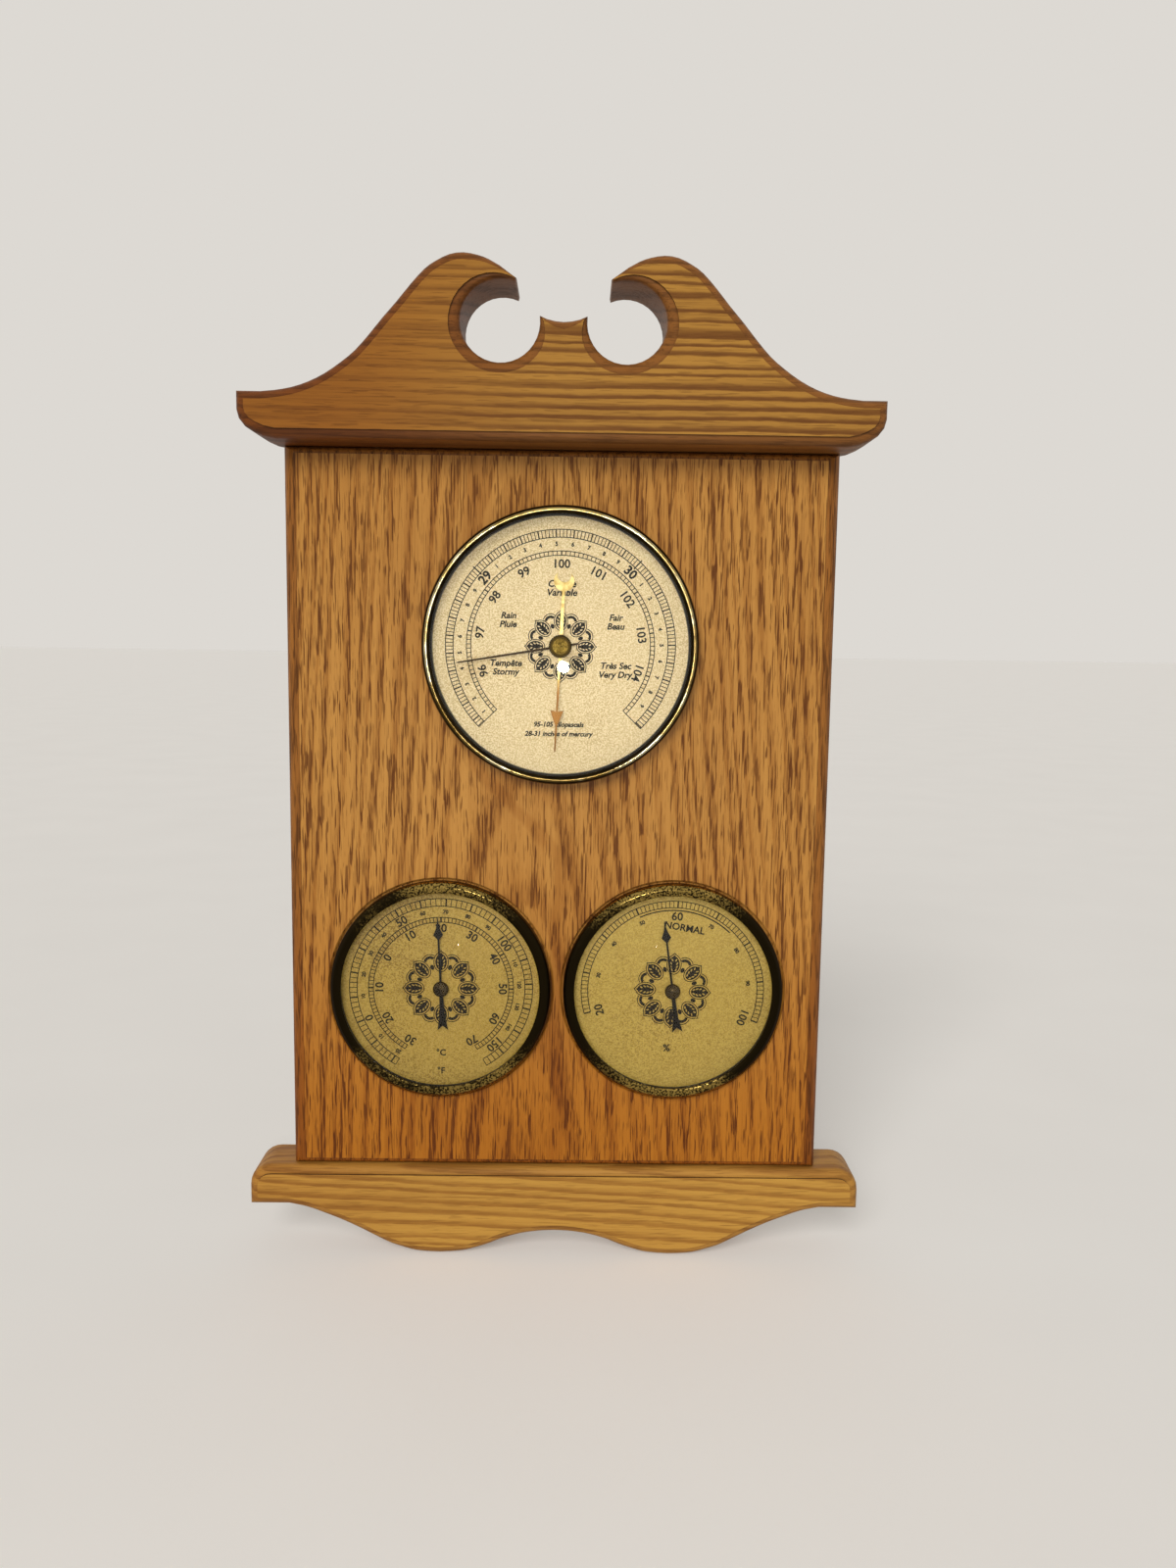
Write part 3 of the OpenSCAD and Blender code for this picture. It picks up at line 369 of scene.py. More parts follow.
# DOWELS
# Four plain birch dowels, 5 mm thick, glued half into the upright board and half into
# the pediment or the base board. They are out of sight in the joined boards.
birch, shader, place = new_finish("birch_dowel", Roughness=0.6)
streak = place.node("Mapping", {}, {"Vector": place, "Scale": (900, 900, 40)}).noise(1.0)
streak.mix(colour(222, 196, 152), colour(196, 164, 116)).into(shader, "Base Color")


def finish_nodes(finish, *nodes):
    """Gives CAD pieces that stay as they are their finish."""
    for node in nodes:
        for place_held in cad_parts[node].material_slots:
            place_held.material = finish


finish_nodes(birch, "pediment_dowels", "base_dowels")


# HANGER
# A pressed steel plate with a keyhole slot, let flush into the upright board's back and
# held by two countersunk wood screws. It is zinc plated, with a cloudy grey shine.
def metal(name, bright, dull, roughness, grain=260.0, wear=0.12, scratch=0.00001):
    """A metal whose colour drifts from bright to dull, with fine scratches."""
    made, shader, place = new_finish(name, Metallic=1.0)
    cloud = place.noise(grain, 4.0)
    line = place.node("Mapping", {}, {"Vector": place, "Scale": (400, 400, 9000)}).noise(1.0)
    cloud.fade(0.35, 0.68).mix(bright, dull).into(shader, "Base Color")
    (roughness + (cloud - 0.5) * wear + (line - 0.5) * wear * 0.5).into(shader, "Roughness")
    bump = line.node("Bump", {}, {"Strength": 0.3, "Distance": scratch, "Height": line})
    bump.into(shader, "Normal")
    return made


def fitted(piece, finish, body, slot, *nodes):
    """Gives a piece its finish, the body it rides on and the CAD pieces it stands for."""
    piece.data.materials.append(finish)
    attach(piece, body)
    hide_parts(*nodes)


zinc = metal("zinc_plate", colour(205, 206, 202), colour(176, 176, 172), 0.34)
plate_ease = 0.00012
fitted(eased("hanger_plate", "keyhole_plate", plate_ease), zinc, "station",
       "plated_steel", "hanger_plate")
fitted(eased("hanger_screws", "plate_screws", 0.00008), zinc, "station",
       "plated_steel", "hanger_screws")

# CASES
# Drawn steel cans that hold the works. Each stands in its opening, with its rim on the
# board's face or in the small instruments' round seats. They are lacquered pale gold.
can_metal = metal("can_lacquer", colour(196, 184, 150), colour(170, 158, 126), 0.38, 90.0)
for node, name in (
    ("baro_case", "barometer_can"),
    ("thermo_case", "thermometer_can"),
    ("hygro_case", "hygrometer_can"),
):
    fitted(eased(node, name, 0.00015), can_metal, "station", "case_metal", node)

# WORKS
# The aneroid movement between its two plates: capsule, spring, arm, sector and pinion,
# and in each small can a coil round an arbor under a bridge. They are hidden by the dials.
works_brass = metal("works_brass", colour(222, 186, 104), colour(186, 146, 74), 0.28)
works_steel = metal("works_steel", colour(188, 188, 190), colour(150, 150, 154), 0.3)
blued_steel = metal("blued_steel", colour(70, 84, 132), colour(46, 56, 96), 0.25)
capsule_tin = metal("capsule_tin", colour(214, 212, 204), colour(186, 184, 176), 0.3)
coil_strip = metal("coil_strip", colour(176, 158, 138), colour(150, 130, 108), 0.32)
finish_nodes(
    works_brass, "pinion", "sector", "baro_arbor", "mov_top_plate", "mov_low_plate",
    "mov_pillars", "hairspring_post", "thermo_arbor", "thermo_bridge", "thermo_coil_post",
    "hygro_arbor", "hygro_bridge", "hygro_coil_post",
)
finish_nodes(works_steel, "sector_arbor", "main_spring", "lifting_arm", "pillar_screws")
finish_nodes(blued_steel, "hairspring")
finish_nodes(capsule_tin, "capsule")
finish_nodes(coil_strip, "thermo_coil", "hygro_coil")

# SCREWS AT THE BACK
# Slotted steel screws that hold the movement and the bridges to the cans' floors, and the
# brass screw in its hole that sets the barometer's reading.
for node, name, finish, slot in (
    ("movement_screws", "movement_case_screws", works_steel, "works_steel"),
    ("thermo_screws", "thermometer_screws", works_steel, "works_steel"),
    ("hygro_screws", "hygrometer_screws", works_steel, "works_steel"),
    ("adjusting_screw", "reading_screw", works_brass, "works_brass"),
):
    fitted(eased(node, name, 0.00006), finish, "station", slot, node)

# DIALS
# Thin aluminium discs, anodised a satin champagne gold with a fine grain and printed in
# black. The barometer's is the palest. Each lies on its case's rim.
mm = 0.001
barometer_at = (0.0, -0.062)


def wire(points):
    """A chain of edges through points, left in edit mode with all of it selected."""
    bpy.ops.object.select_all(action="DESELECT")
    bpy.ops.mesh.primitive_plane_add(size=mm, location=points[0])
    bpy.ops.object.mode_set(mode="EDIT")
    bpy.ops.mesh.merge(type="CENTER")
    for start, end in zip(points, points[1:]):
        move = {"value": Vector(end) - Vector(start)}
        bpy.ops.mesh.extrude_vertices_move(TRANSFORM_OT_translate=move)
    bpy.ops.mesh.select_all(action="SELECT")
    return bpy.context.object


def closed_up(piece):
    """Merges doubles, turns all faces outwards and leaves edit mode, placed in the mesh."""
    bpy.ops.mesh.select_all(action="SELECT")
    bpy.ops.mesh.remove_doubles(threshold=1e-6)
    bpy.ops.mesh.normals_make_consistent(inside=False)
    bpy.ops.object.mode_set(mode="OBJECT")
    bpy.ops.object.transform_apply()
    return piece


def turned(name, centre, outline, steps=160, smooth=32):
    """A piece turned about a dial's axis. outline is its closed section, as points of
    radius and height off the wall in millimetres."""
    x, z = centre
    piece = wire([(x + radius * mm, -height * mm, z) for radius, height in outline])
    piece.name = name
    bpy.ops.mesh.spin(steps=steps, angle=tau, center=(x, 0, z), axis=(0, 1, 0))
    closed_up(piece)
    bpy.ops.object.shade_smooth_by_angle(angle=radians(smooth))
    return piece


def dial_gold(name, pale, warm, dark):
    """Anodised gold with a grain of about a third of a millimetre."""
    made, shader, place = new_finish(name, Metallic=0.3)
    speck = place.noise(1900.0, 3.0)
    drift = place.noise(22.0, 3.0)
    gold = speck.fade(0.40, 0.58).mix(pale, warm)
    aged = (speck * 0.6 + drift * 0.4).fade(0.52, 0.66).mix(gold, dark)
    smudge = place.noise(48.0, 4.0).fade(0.60, 0.76) * 0.6
    smudge.mix(aged, dark).into(shader, "Base Color")
    (0.36 + speck * 0.2).into(shader, "Roughness")
    bump = speck.node("Bump", {}, {"Strength": 0.3, "Distance": 0.00002, "Height": speck})
    bump.into(shader, "Normal")
    return made


baro_gold = dial_gold("barometer_gold", colour(238, 216, 172), colour(212, 184, 132),
                      colour(188, 156, 104))
thermo_gold = dial_gold("thermometer_gold", colour(190, 157, 72), colour(170, 136, 54),
                        colour(140, 108, 40))
hygro_gold = dial_gold("hygrometer_gold", colour(200, 168, 80), colour(180, 147, 62),
                       colour(150, 118, 46))
baro_dial_top = 20.1
small_dial_top = 18.7
dial_ease = 0.05
for name, centre, hole, rim, low, top, finish, node in (
    ("barometer_dial", barometer_at, 2.0, 50.6, 19.6, baro_dial_top, baro_gold, "baro_dial"),
    ("thermometer_dial", thermometer_at, 1.6, 41.0, 18.3, small_dial_top, thermo_gold,
     "thermo_dial"),
    ("hygrometer_dial", hygrometer_at, 1.6, 41.0, 18.3, small_dial_top, hygro_gold,
     "hygro_dial"),
):
    section = [(hole, low), (rim, low), (rim, top - dial_ease), (rim - dial_ease, top),
               (hole + dial_ease, top), (hole, top - dial_ease), (hole, low)]
    fitted(turned(name, centre, section), finish, "station", "dial_gold", node)

# DIAL PRINT
# Scales, numbers, weather words and a rosette of eight petals, screen printed in black.
# The ink stands a hundredth of a millimetre or two above the gold.
ink, shader, place = new_finish("dial_ink", Roughness=0.5, Specular_IOR_Level=0.15)
place.noise(1800.0).mix(colour(20, 15, 10), colour(34, 26, 18)).into(shader, "Base Color")
ink_height = 0.02


def on_dial(dial, radius, angle):
    """A point of a dial in metres, from its radius in mm and angle clockwise from the top."""
    x, z, height, tilt = dial
    turn = radians(angle + tilt)
    return (x + radius * mm * sin(turn), -height * mm, z + radius * mm * cos(turn))


def arc(dial, radius, start, end, width):
    """A printed line along part of a circle about the dial's centre."""
    half = width / 2
    mark = wire([on_dial(dial, radius - half, start), on_dial(dial, radius + half, start)])
    bpy.ops.mesh.spin(
        steps=max(6, round(abs(end - start) / 2.5)), angle=radians(start - end),
        center=(dial[0], 0, dial[1]), axis=(0, 1, 0),
    )
    return closed_up(mark)


def bar(dial, inner, outer, angle, width):
    """A printed line along a radius."""
    mark = wire([on_dial(dial, inner, angle), on_dial(dial, outer, angle)])
    half = (Vector(on_dial(dial, 1.0, angle + 90)) - Vector(on_dial(dial, 0.0, 0))) * width / 2
    bpy.ops.transform.translate(value=-half)
    bpy.ops.mesh.extrude_region_move(TRANSFORM_OT_translate={"value": half * 2})
    return closed_up(mark)


def repeated(mark, dial, copies, step):
    """Repeats a mark clockwise round the dial, a step of degrees apart."""
    bpy.ops.object.select_all(action="DESELECT")
    bpy.context.view_layer.objects.active = mark
    mark.select_set(True)
    bpy.ops.object.mode_set(mode="EDIT")
    bpy.ops.mesh.select_all(action="SELECT")
    bpy.ops.mesh.spin(
        steps=copies, dupli=True, angle=radians(-step * copies),
        center=(dial[0], 0, dial[1]), axis=(0, 1, 0),
    )
    bpy.ops.object.mode_set(mode="OBJECT")
    return mark


cap_share = 0.595


def word(text, dial, radius, angle, size, upright=False, weight=0.1, slant=0.0):
    """Letters centred at a radius and angle, their feet towards the dial's centre. size is
    a capital's height in mm, which is cap_share of what the font calls its size. slant is
    how far the letters lean."""
    bpy.ops.object.select_all(action="DESELECT")
    turn = 0.0 if upright else radians(angle + dial[3])
    bpy.ops.object.text_add(location=on_dial(dial, radius, angle), rotation=(pi / 2, turn, 0))
    letters = bpy.context.object
    letters.data.body = text
    letters.data.size = size * mm / cap_share
    letters.data.align_x = "CENTER"
    letters.data.align_y = "CENTER"
    letters.data.offset = weight * mm
    letters.data.shear = slant
    letters.data.extrude = ink_height * mm
    letters.data.resolution_u = 3
    bpy.ops.object.convert(target="MESH")
    letters = bpy.context.object
    bpy.ops.object.mode_set(mode="EDIT")
    return closed_up(letters)


def oval(dial, across, radius, width, length, lean=0.0, point=0.0, line=0.0):
    """An oval near the top of the dial, solid or as an outline of a line's width. point is
    how far its outer end is drawn out, and lean turns it, in degrees."""
    place = on_dial(dial, radius, degrees(across / radius))
    bpy.ops.object.select_all(action="DESELECT")
    bpy.ops.mesh.primitive_circle_add(
        vertices=24 if point else 10, radius=mm / 2, fill_type="NGON", location=place,
        rotation=(pi / 2, radians(lean + dial[3]), 0))
    mark = bpy.context.object
    mark.scale = (width, length, 1)
    bpy.ops.object.transform_apply()
    bpy.ops.object.mode_set(mode="EDIT")
    if point:
        bpy.ops.mesh.select_all(action="DESELECT")
        bpy.ops.object.mode_set(mode="OBJECT")
        far = Vector((dial[0], place[1], dial[1]))
        tip = max(mark.data.vertices, key=lambda v: (v.co - far).length)
        tip.select = True
        draw = (tip.co - far).normalized() * point * mm
        bpy.ops.object.mode_set(mode="EDIT")
        bpy.ops.transform.translate(value=draw)
        bpy.ops.mesh.select_all(action="SELECT")
    if line:
        bpy.ops.mesh.inset(thickness=line * mm)
        bpy.ops.mesh.delete(type="FACE")
    bpy.ops.object.mode_set(mode="OBJECT")
    return mark


def rosette(dial, outer):
    """Eight pointed leaves, each outlined, and eight arched lobes between them."""
    unit = outer / 15.2
    between = (*dial[:3], dial[3] + 22.5)
    lobe_at = on_dial(between, 11.2 * unit, 0)
    lobe = (lobe_at[0], lobe_at[2], dial[2], between[3])
    marks = [
        oval(dial, 0, 10.6 * unit, 6.0 * unit, 8.2 * unit, point=0.7 * unit, line=0.34),
        oval(dial, 0, 10.6 * unit, 4.5 * unit, 6.5 * unit, point=0.6 * unit),
        oval(between, 0, 9.1 * unit, 1.6 * unit, 2.2 * unit),
        arc(lobe, 3.2 * unit, -54, 54, 0.32),
        arc(lobe, 2.0 * unit, -62, 62, 1.1 * unit),
    ]
    return [repeated(mark, dial, 7, 45) for mark in marks]


def leaf_flecks(dial, outer):
    """The spots of bare gold in the rosette's leaves, four on either side of a dark rib."""
    unit = outer / 15.2
    spots = []
    for side in (1, -1):
        for radius, across in ((8.5, 0.8), (9.8, 1.2), (11.1, 1.2), (12.4, 0.75)):
            spots.append(oval(dial, side * across * unit, radius * unit, 0.55 * unit,
                              1.2 * unit, lean=side * 28))
    return [repeated(spot, dial, 7, 45) for spot in spots]


def printed(name, marks, letters, finish):
    """Joins flat marks, gives them the ink's height and joins the letters to them."""
    bpy.ops.object.select_all(action="DESELECT")
    bpy.context.view_layer.objects.active = marks[0]
    for mark in marks:
        mark.select_set(True)
    bpy.ops.object.join()
    piece = bpy.context.object
    piece.name = name
    bpy.ops.object.mode_set(mode="EDIT")
    bpy.ops.mesh.select_all(action="SELECT")
    rise = {"value": (0, -ink_height * mm, 0)}
    bpy.ops.mesh.extrude_region_move(TRANSFORM_OT_translate=rise)
    bpy.ops.mesh.select_all(action="SELECT")
    bpy.ops.mesh.normals_make_consistent(inside=False)
    bpy.ops.object.mode_set(mode="OBJECT")
    for letter in letters:
        letter.select_set(True)
    bpy.ops.object.join()
    piece.data.materials.clear()
    piece.data.materials.append(finish)
    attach(piece, "station")
    return piece


def bare_flecks(name, dial, outer, gold):
    """Lays the rosette's gold spots on its ink."""
    x, z, height, tilt = dial
    raised = (x, z, height + ink_height * 0.5, tilt)
    printed(name, leaf_flecks(raised, outer), [], gold)


# The barometer: inches outside and kilopascals inside, all angles from 100 kilopascals.
baro = (*barometer_at, baro_dial_top, 0.0)
per_inch, per_kilopascal = 91.43, 27
inch_29 = -48.5
baro_end = 5 * per_kilopascal
inch_ring = (40.9, 43.8)
kilopascal_ring = (34.2, 35.8)
fine_line, thin_tick, bold_tick = 0.34, 0.3, 0.5
track = [arc(baro, radius, -baro_end, baro_end, fine_line)
         for radius in (*kilopascal_ring, *inch_ring)]
track += [bar(baro, kilopascal_ring[0], inch_ring[1], side * baro_end, fine_line)
          for side in (-1, 1)]
for start, width, copies, divisions in (
    (inch_29 - 0.94 * per_inch, thin_tick, 147, 50), (inch_29 - 0.9 * per_inch, bold_tick, 29, 10),
):
    mark = bar(baro, *inch_ring, start, width)
    track.append(repeated(mark, baro, copies, per_inch / divisions))
track += [bar(baro, 40.2, 44.5, inch_29 + whole * per_inch, bold_tick) for whole in (0, 1)]
for start, width, copies, divisions in (
    (-baro_end, thin_tick, 100, 10), (per_kilopascal - baro_end, bold_tick, 8, 1),
):
    mark = bar(baro, *kilopascal_ring, start, width)
    track.append(repeated(mark, baro, copies, per_kilopascal / divisions))
baro_rosette = 13.7
track += rosette(baro, baro_rosette)
letters = [word(str(kilopascals), baro, 30.9, (kilopascals - 100) * per_kilopascal, 2.7)
           for kilopascals in range(96, 105)]
letters += [word(str(inches), baro, 38.3, inch_29 + (inches - 29) * per_inch, 2.9, weight=0.16)
            for inches in (29, 30)]
letters += [word(str(tenths % 10), baro, 38.4, inch_29 + (tenths - 290) * per_inch / 10, 1.25)
            for tenths in range(281, 310) if tenths % 10]
for text, across, up, size in (
    ("Rain", -19.9, 11.4, 2.0), ("Pluie", -20.1, 8.1, 2.0),
    ("Change", 0.2, 23.5, 2.1), ("Variable", 0.2, 20.2, 2.1),
    ("Fair", 20.8, 11.0, 2.0), ("Beau", 20.8, 7.7, 2.0),
    ("Tempête", -20.9, -6.6, 2.0), ("Stormy", -20.9, -9.9, 2.0),
    ("Très Sec", 21.0, -7.2, 2.0), ("Very Dry", 20.8, -10.6, 2.0),
    ("95-105 kilopascals", -0.5, -29.8, 1.55), ("28-31 inches of mercury", -0.5, -33.4, 1.55),
):
    distance = sqrt(across * across + up * up)
    turn = degrees(atan2(across, up))
    letters.append(word(text, baro, distance, turn, size, upright=True, slant=0.22))
printed("barometer_print", track, letters, ink)
bare_flecks("barometer_leaf_flecks", baro, baro_rosette, baro_gold)

# The thermometer: Fahrenheit outside and Celsius inside, with 20 °C at the top.
thermo = (*thermometer_at, small_dial_top, 0.0)
per_celsius = 3
per_fahrenheit = per_celsius * 5 / 9
thermo_end = 50 * per_celsius
fahrenheit_ring = (33.0, 36.0)
celsius_ring = (26.6, 28.5)
heavy_tick = 0.6
track = [arc(thermo, radius, -thermo_end, thermo_end, fine_line)
         for radius in (*celsius_ring, *fahrenheit_ring)]
track += [bar(thermo, *celsius_ring, side * thermo_end, fine_line) for side in (-1, 1)]
for ring, start, width, copies, step in (
    (fahrenheit_ring, -thermo_end, thin_tick, 90, 2 * per_fahrenheit),
    (fahrenheit_ring, (-20 - 68) * per_fahrenheit, heavy_tick, 17, 10 * per_fahrenheit),
    (celsius_ring, per_celsius - thermo_end, thin_tick, 98, per_celsius),
    (celsius_ring, 10 * per_celsius - thermo_end, heavy_tick, 8, 10 * per_celsius),
):
    track.append(repeated(bar(thermo, *ring, start, width), thermo, copies, step))
small_rosette = 15.2
track += rosette(thermo, small_rosette)
letters = [word(str(abs(celsius)), thermo, 24.1, (celsius - 20) * per_celsius, 2.7)
           for celsius in range(-30, 80, 10)]
for fahrenheit in range(-20, 160, 10):
    size = 2.7 if fahrenheit % 50 == 0 else 1.25
    angle = (fahrenheit - 68) * per_fahrenheit
    letters.append(word(str(abs(fahrenheit)), thermo, 30.7, angle, size))
letters += [word("°C", thermo, 26.2, 180, 2.1, upright=True),
            word("°F", thermo, 33.6, 180, 2.1, upright=True)]
printed("thermometer_print", track, letters, ink)
bare_flecks("thermometer_leaf_flecks", thermo, small_rosette, thermo_gold)

# The hygrometer: 20 to 100 percent, printed a little askew, with an arc over 50 to 75.
hygro = (*hygrometer_at, small_dial_top, 2.5)
per_percent = 2.7
hygro_end = 40 * per_percent
percent_ring = (33.4, 36.0)
track = [arc(hygro, radius, -hygro_end, hygro_end, fine_line) for radius in percent_ring]
track.append(arc(hygro, 32.3, (50 - 60) * per_percent, (75 - 60) * per_percent, bold_tick))
for width, copies, percents in ((thin_tick, 80, 1), (heavy_tick, 8, 10)):
    mark = bar(hygro, *percent_ring, -hygro_end, width)
    track.append(repeated(mark, hygro, copies, percents * per_percent))
track += rosette(hygro, small_rosette)
letters = []
for percent in range(20, 110, 10):
    size = 2.7 if percent in (20, 60, 100) else 1.25
    letters.append(word(str(percent), hygro, 29.8, (percent - 60) * per_percent, size))
letters += [word("NORMAL", hygro, 25.6, 7, 2.3), word("%", hygro, 23.5, 182, 2.4, upright=True)]
printed("hygrometer_print", track, letters, ink)
bare_flecks("hygrometer_leaf_flecks", hygro, small_rosette, hygro_gold)

# POINTERS
# Thin blades stamped from steel and painted black: a plain tapered one on the barometer,
# and on the small dials an arrow with a forked tail, pressed on its arbor.
pointer_ease = 0.00005
for node, name, body, dark, light in (
    ("baro_pointer", "pressure_needle", "pressure_pointer", (46, 32, 14), (78, 56, 26)),
    ("thermo_pointer", "temperature_needle", "temperature_pointer", (18, 15, 12), (32, 27, 20)),
    ("hygro_pointer", "humidity_needle", "humidity_pointer", (18, 15, 12), (32, 27, 20)),
):
    paint, shader, place = new_finish(name + "_paint", Roughness=0.4, Specular_IOR_Level=0.12)
    place.noise(700.0).mix(colour(*dark), colour(*light)).into(shader, "Base Color")
    fitted(eased(node, name, pointer_ease), paint, body, "pointer_black", node)

# The small pointers' turned caps, dark bronze, with a stem through the pointer's eye.
cap_bronze = metal("cap_bronze", colour(92, 76, 50), colour(58, 46, 30), 0.22)
for name, centre, body, node in (
    ("temperature_cap", thermometer_at, "temperature_pointer", "thermo_hub"),
    ("humidity_cap", hygrometer_at, "humidity_pointer", "hygro_hub"),
):
    stem, stem_foot = 1.55, 19.2
    cap, cap_foot, cap_rise = 3.1, 20.0, 2.18
    ease = 0.05
    section = [(0, stem_foot), (stem, stem_foot), (stem, cap_foot), (cap - ease, cap_foot),
               (cap, cap_foot + ease)]
    section += [(cap * cos(radians(a)), cap_foot + ease + cap_rise * sin(radians(a)))
                for a in range(10, 90, 10)]
    section += [(0, cap_foot + ease + cap_rise), (0, stem_foot)]
    fitted(turned(name, centre, section, 64), cap_bronze, body, "hub_dark", node)

# SPACER RINGS
# Black moulded rings that stand on the dials and carry the glasses. The barometer's is
# deep enough for two hands and shows as a dark band inside the bezel.
ring_black, shader, place = new_finish("ring_black", Roughness=0.45)
place.noise(500.0).mix(colour(20, 17, 14), colour(34, 28, 22)).into(shader, "Base Color")
for name, centre, inner, outer, low, top, node in (
    ("barometer_spacer", barometer_at, 48.7, 50.6, 20.1, 23.3, "baro_spacer"),
    ("thermometer_spacer", thermometer_at, 39.3, 41.0, 18.7, 19.7, "thermo_spacer"),
    ("hygrometer_spacer", hygrometer_at, 39.3, 41.0, 18.7, 19.7, "hygro_spacer"),
):
    chamfer = 0.15
    section = [(inner, low), (outer, low), (outer, top), (inner + chamfer, top),
               (inner, top - chamfer), (inner, low)]
    fitted(turned(name, centre, section), ring_black, "station", "spacer_black", node)


# GLASSES
# The barometer's glass is flat, with a hole for the set hand's shaft. The small ones are
# domed watch glasses. All are clear and so thin that they hardly bend or dim the dials.
def clear_glass(name, tint):
    """Clear glass that lets lamplight through to the dial behind it."""
    made, shader, place = new_finish(name, Base_Color=tint, Roughness=0.0, IOR=1.25,
                                     Transmission_Weight=1.0)
    tree = made.node_tree
    ray = Tone(tree.nodes.new("ShaderNodeLightPath").outputs["Is Shadow Ray"])
    through = tree.nodes.new("ShaderNodeBsdfTransparent")
    both = tree.nodes.new("ShaderNodeMixShader")
    ray.into(both, "Fac")
    tree.links.new(shader.outputs[0], both.inputs[1])
    tree.links.new(through.outputs[0], both.inputs[2])
    tree.links.new(both.outputs[0], tree.nodes["Material Output"].inputs["Surface"])
    return made


flat_glass = clear_glass("flat_glass", colour(250, 252, 250))
hole, flat_rim = 1.56, 50.6
flat_low, flat_top = 23.3, 25.1
edge = 0.1
flat_section = [(hole, flat_low), (flat_rim, flat_low), (flat_rim, flat_top),
                (hole + edge, flat_top), (hole, flat_top - edge), (hole, flat_low)]
fitted(turned("barometer_glass", barometer_at, flat_section), flat_glass, "station",
       "clear_glass", "baro_glass")

dome_radius = 88.0
dome_rim = 41.8
glass_edge = 19.7
glass_thickness = 1.2


def dome(radius):
    """How high the domed glass stands above its rim."""
    return sqrt(dome_radius ** 2 - radius ** 2) - sqrt(dome_radius ** 2 - dome_rim ** 2)


for name, centre, node in (
    ("thermometer_glass", thermometer_at, "thermo_glass"),
    ("hygrometer_glass", hygrometer_at, "hygro_glass"),
):
    rows = [dome_rim * i / 28 for i in range(29)]
    section = [(r, glass_edge + dome(r)) for r in rows]
    section += [(r, glass_edge + glass_thickness + dome(r)) for r in reversed(rows)]
    section.append(section[0])
    fitted(turned(name, centre, section, 144, 50), flat_glass, "station", "clear_glass", node)

# BEZELS
# Spun brass rings pressed over glass, dial and case. The barometer's is polished, with a
# bright crest between dark flanks, which are a painted reflection of a dark room. The small
# ones are broad and dark, partly aged brass and partly a painted reflection of a dark room,
# with bright flecks that are partly wear and partly painted glints.
polished_brass, shader, place = new_finish("polished_brass", Metallic=1.0)
# Some patches are darker, partly tarnish and partly painted dim reflection. Others are paler, as
# painted highlights.
cloud = place.noise(420.0, 3.0)
tarnish_and_dim_reflection = (place.noise(38.0, 3.0) + (cloud - 0.5) * 0.25).fade(0.40, 0.62)
painted_shine = place.noise(70.0, 2.0).fade(0.45, 0.6).mix(colour(176, 150, 92), colour(226, 214, 172))
tarnish_and_dim_reflection.mix(painted_shine, colour(92, 72, 34)).into(shader, "Base Color")
(0.12 + cloud * 0.12).into(shader, "Roughness")
# The flanks' near black is a painted reflection of a dark room.
dark_flank_reflection = metal("dark_flank_reflection", colour(46, 36, 18), colour(26, 20, 10), 0.22)
rim = 52.9
top = flat_top
lip = 49.2
section = [
    (rim - 1.1, 19.0), (rim - 0.08, 19.0), (rim, 19.08), (rim, 20.1), (rim - 0.12, 20.3),
    (rim - 0.35, 20.5), (rim - 0.35, top - 1.6), (rim - 0.42, top - 0.9), (rim - 0.6, top - 0.25),
    (rim - 0.9, top + 0.3), (rim - 1.2, top + 0.62), (rim - 1.5, top + 0.8),
    (rim - 1.8, top + 0.88), (rim - 2.1, top + 0.9), (rim - 2.35, top + 0.88),
    (rim - 2.6, top + 0.82), (rim - 2.9, top + 0.72), (rim - 3.2, top + 0.58),
    (lip + 0.25, top + 0.38), (lip + 0.05, top + 0.2), (lip, top), (rim - 1.1, top),
    (rim - 1.1, 19.0),
]
baro_bezel = turned("barometer_bezel", barometer_at, section, 192)
fitted(baro_bezel, polished_brass, "station", "polished_brass", "baro_bezel")
baro_bezel.data.materials.append(dark_flank_reflection)
# The outer flank and the inner lip get the painted dark reflection.
for face in baro_bezel.data.polygons:
    x, y, z = face.center
    away = sqrt((x - barometer_at[0]) ** 2 + (z - barometer_at[1]) ** 2) / mm
    flank = rim - 1.5 < away < rim - 0.5 and -y / mm > top - 1.0
    face.material_index = 1 if flank or away < rim - 2.6 else 0

# The small bezels' brass is near black, partly as aged brass and partly as a painted reflection of
# a dark room. Its gold flecks are partly wear and partly painted glints.
dark_brass, shader, place = new_finish("dark_brass", Metallic=1.0)
height = Tone(place.node("SeparateXYZ", {}, {0: place}).socket.node.outputs[2])
from_middle = height - thermometer_at[1]
fleck = place.noise(1500.0, 3.0)
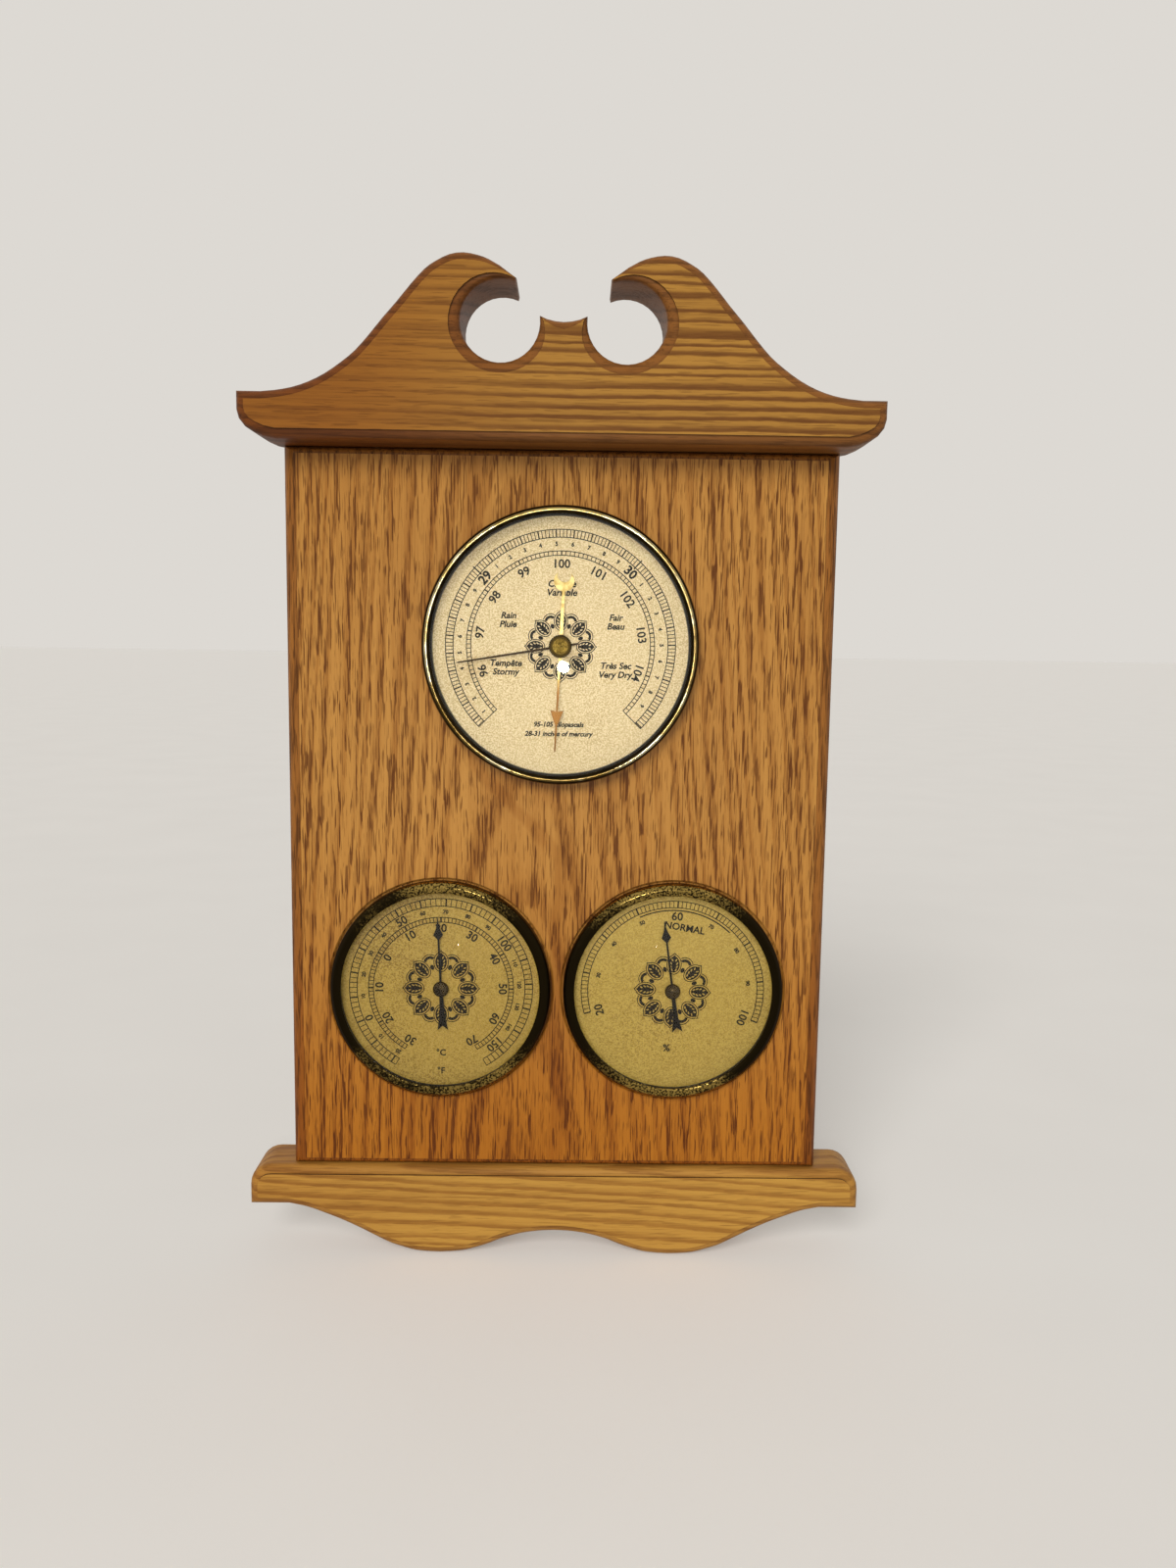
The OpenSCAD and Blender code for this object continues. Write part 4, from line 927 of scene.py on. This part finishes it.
# The painted glints gather towards each bezel's top and bottom.
glint_patch = place.noise(30.0, 2.0) - 0.5 + from_middle.math("ABSOLUTE", from_middle) * 16
glint_patch = glint_patch.fade(0.34, 0.68)
glints_and_wear = (fleck + glint_patch * 0.10).fade(0.50, 0.66) * glint_patch
glints_and_wear.mix(colour(34, 27, 14), colour(170, 142, 74)).into(shader, "Base Color")
(0.28 - glints_and_wear * 0.10).into(shader, "Roughness")
bump = fleck.node("Bump", {}, {"Strength": 0.4, "Distance": 0.00003, "Height": fleck})
bump.into(shader, "Normal")
rim = 43.3
lip = 38.9
top = glass_edge + glass_thickness
crest = top + dome(lip)
for name, centre, node in (
    ("thermometer_bezel", thermometer_at, "thermo_bezel"),
    ("hygrometer_bezel", hygrometer_at, "hygro_bezel"),
):
    section = [
        (rim - 1.1, 17.8), (rim - 0.05, 17.8), (rim, 17.85), (rim, top - 0.2),
        (rim - 0.1, top + 0.5), (rim - 0.4, top + 1.1), (rim - 0.8, crest - 0.1),
        (rim - 1.3, crest + 0.45), (rim - 1.8, crest + 0.7), (rim - 2.3, crest + 0.75),
        (lip + 1.1, crest + 0.73), (lip + 0.6, crest + 0.65), (lip + 0.2, crest + 0.5),
        (lip, crest + 0.32), (lip, crest + 0.03), (dome_rim - 1, top + dome(dome_rim - 1) + 0.03),
        (dome_rim + 0.3, top + 0.03), (rim - 1.1, top - 0.3), (rim - 1.1, 17.8),
    ]
    fitted(turned(name, centre, section, 192), dark_brass, "station", "aged_brass", node)

# SET HAND
# The reminder hand on the barometer, stamped brass with a spear head, brown towards the spear, and
# a crescent on its tail. A shaft through the glass carries it, and a knurled knob outside turns
# it.
hand_brass, shader, place = new_finish("hand_brass", Metallic=1.0)
height = Tone(place.node("SeparateXYZ", {}, {0: place}).socket.node.outputs[2])
spear_brown = 1 - height.fade(-0.0800, -0.0715)
cloud = place.noise(600.0, 3.0)
polished = cloud.fade(0.35, 0.68).mix(colour(234, 210, 140), colour(202, 168, 98))
spear_brown.mix(polished, colour(142, 98, 50)).into(shader, "Base Color")
(0.27 + cloud * 0.14).into(shader, "Roughness")
for node, name in (("set_hand", "reminder_blade"), ("set_shaft", "reminder_shaft")):
    fitted(eased(node, name, 0.00006), hand_brass, "reminder_hand", "set_brass", node)

# The knob's flat end is turned and left bright. Its chamfer and knurled skirt are dark, partly
# darkened brass and partly painted shade on the knob's sides.
knob_brass, shader, place = new_finish("knob_brass", Metallic=1.0)
axes = place.node("SeparateXYZ", {}, {0: place})
z = Tone(axes.socket.node.outputs[2])
from_axis = ((axes - barometer_at[0]) ** 2.0 + (z - barometer_at[1]) ** 2.0) ** 0.5
turning = (from_axis * 36000).math("SINE", from_axis * 36000)
end_face = 1 - from_axis.fade(0.0027, 0.0030)
dust = place.noise(1500.0, 3.0)
bright = dust.fade(0.4, 0.65).mix(colour(158, 132, 62), colour(112, 90, 40))
# Off the end face the colour is dark: darkened brass and painted shade.
end_face.mix(colour(58, 46, 22), bright).into(shader, "Base Color")
(0.30 - end_face * 0.10 + dust * 0.08).into(shader, "Roughness")
cut = turning * end_face
bump = cut.node("Bump", {}, {"Strength": 0.4, "Distance": 0.00002, "Height": cut})
bump.into(shader, "Normal")
fitted(eased("set_knob", "reminder_knob", 0.00006), knob_brass, "reminder_hand", "set_brass",
       "set_knob")
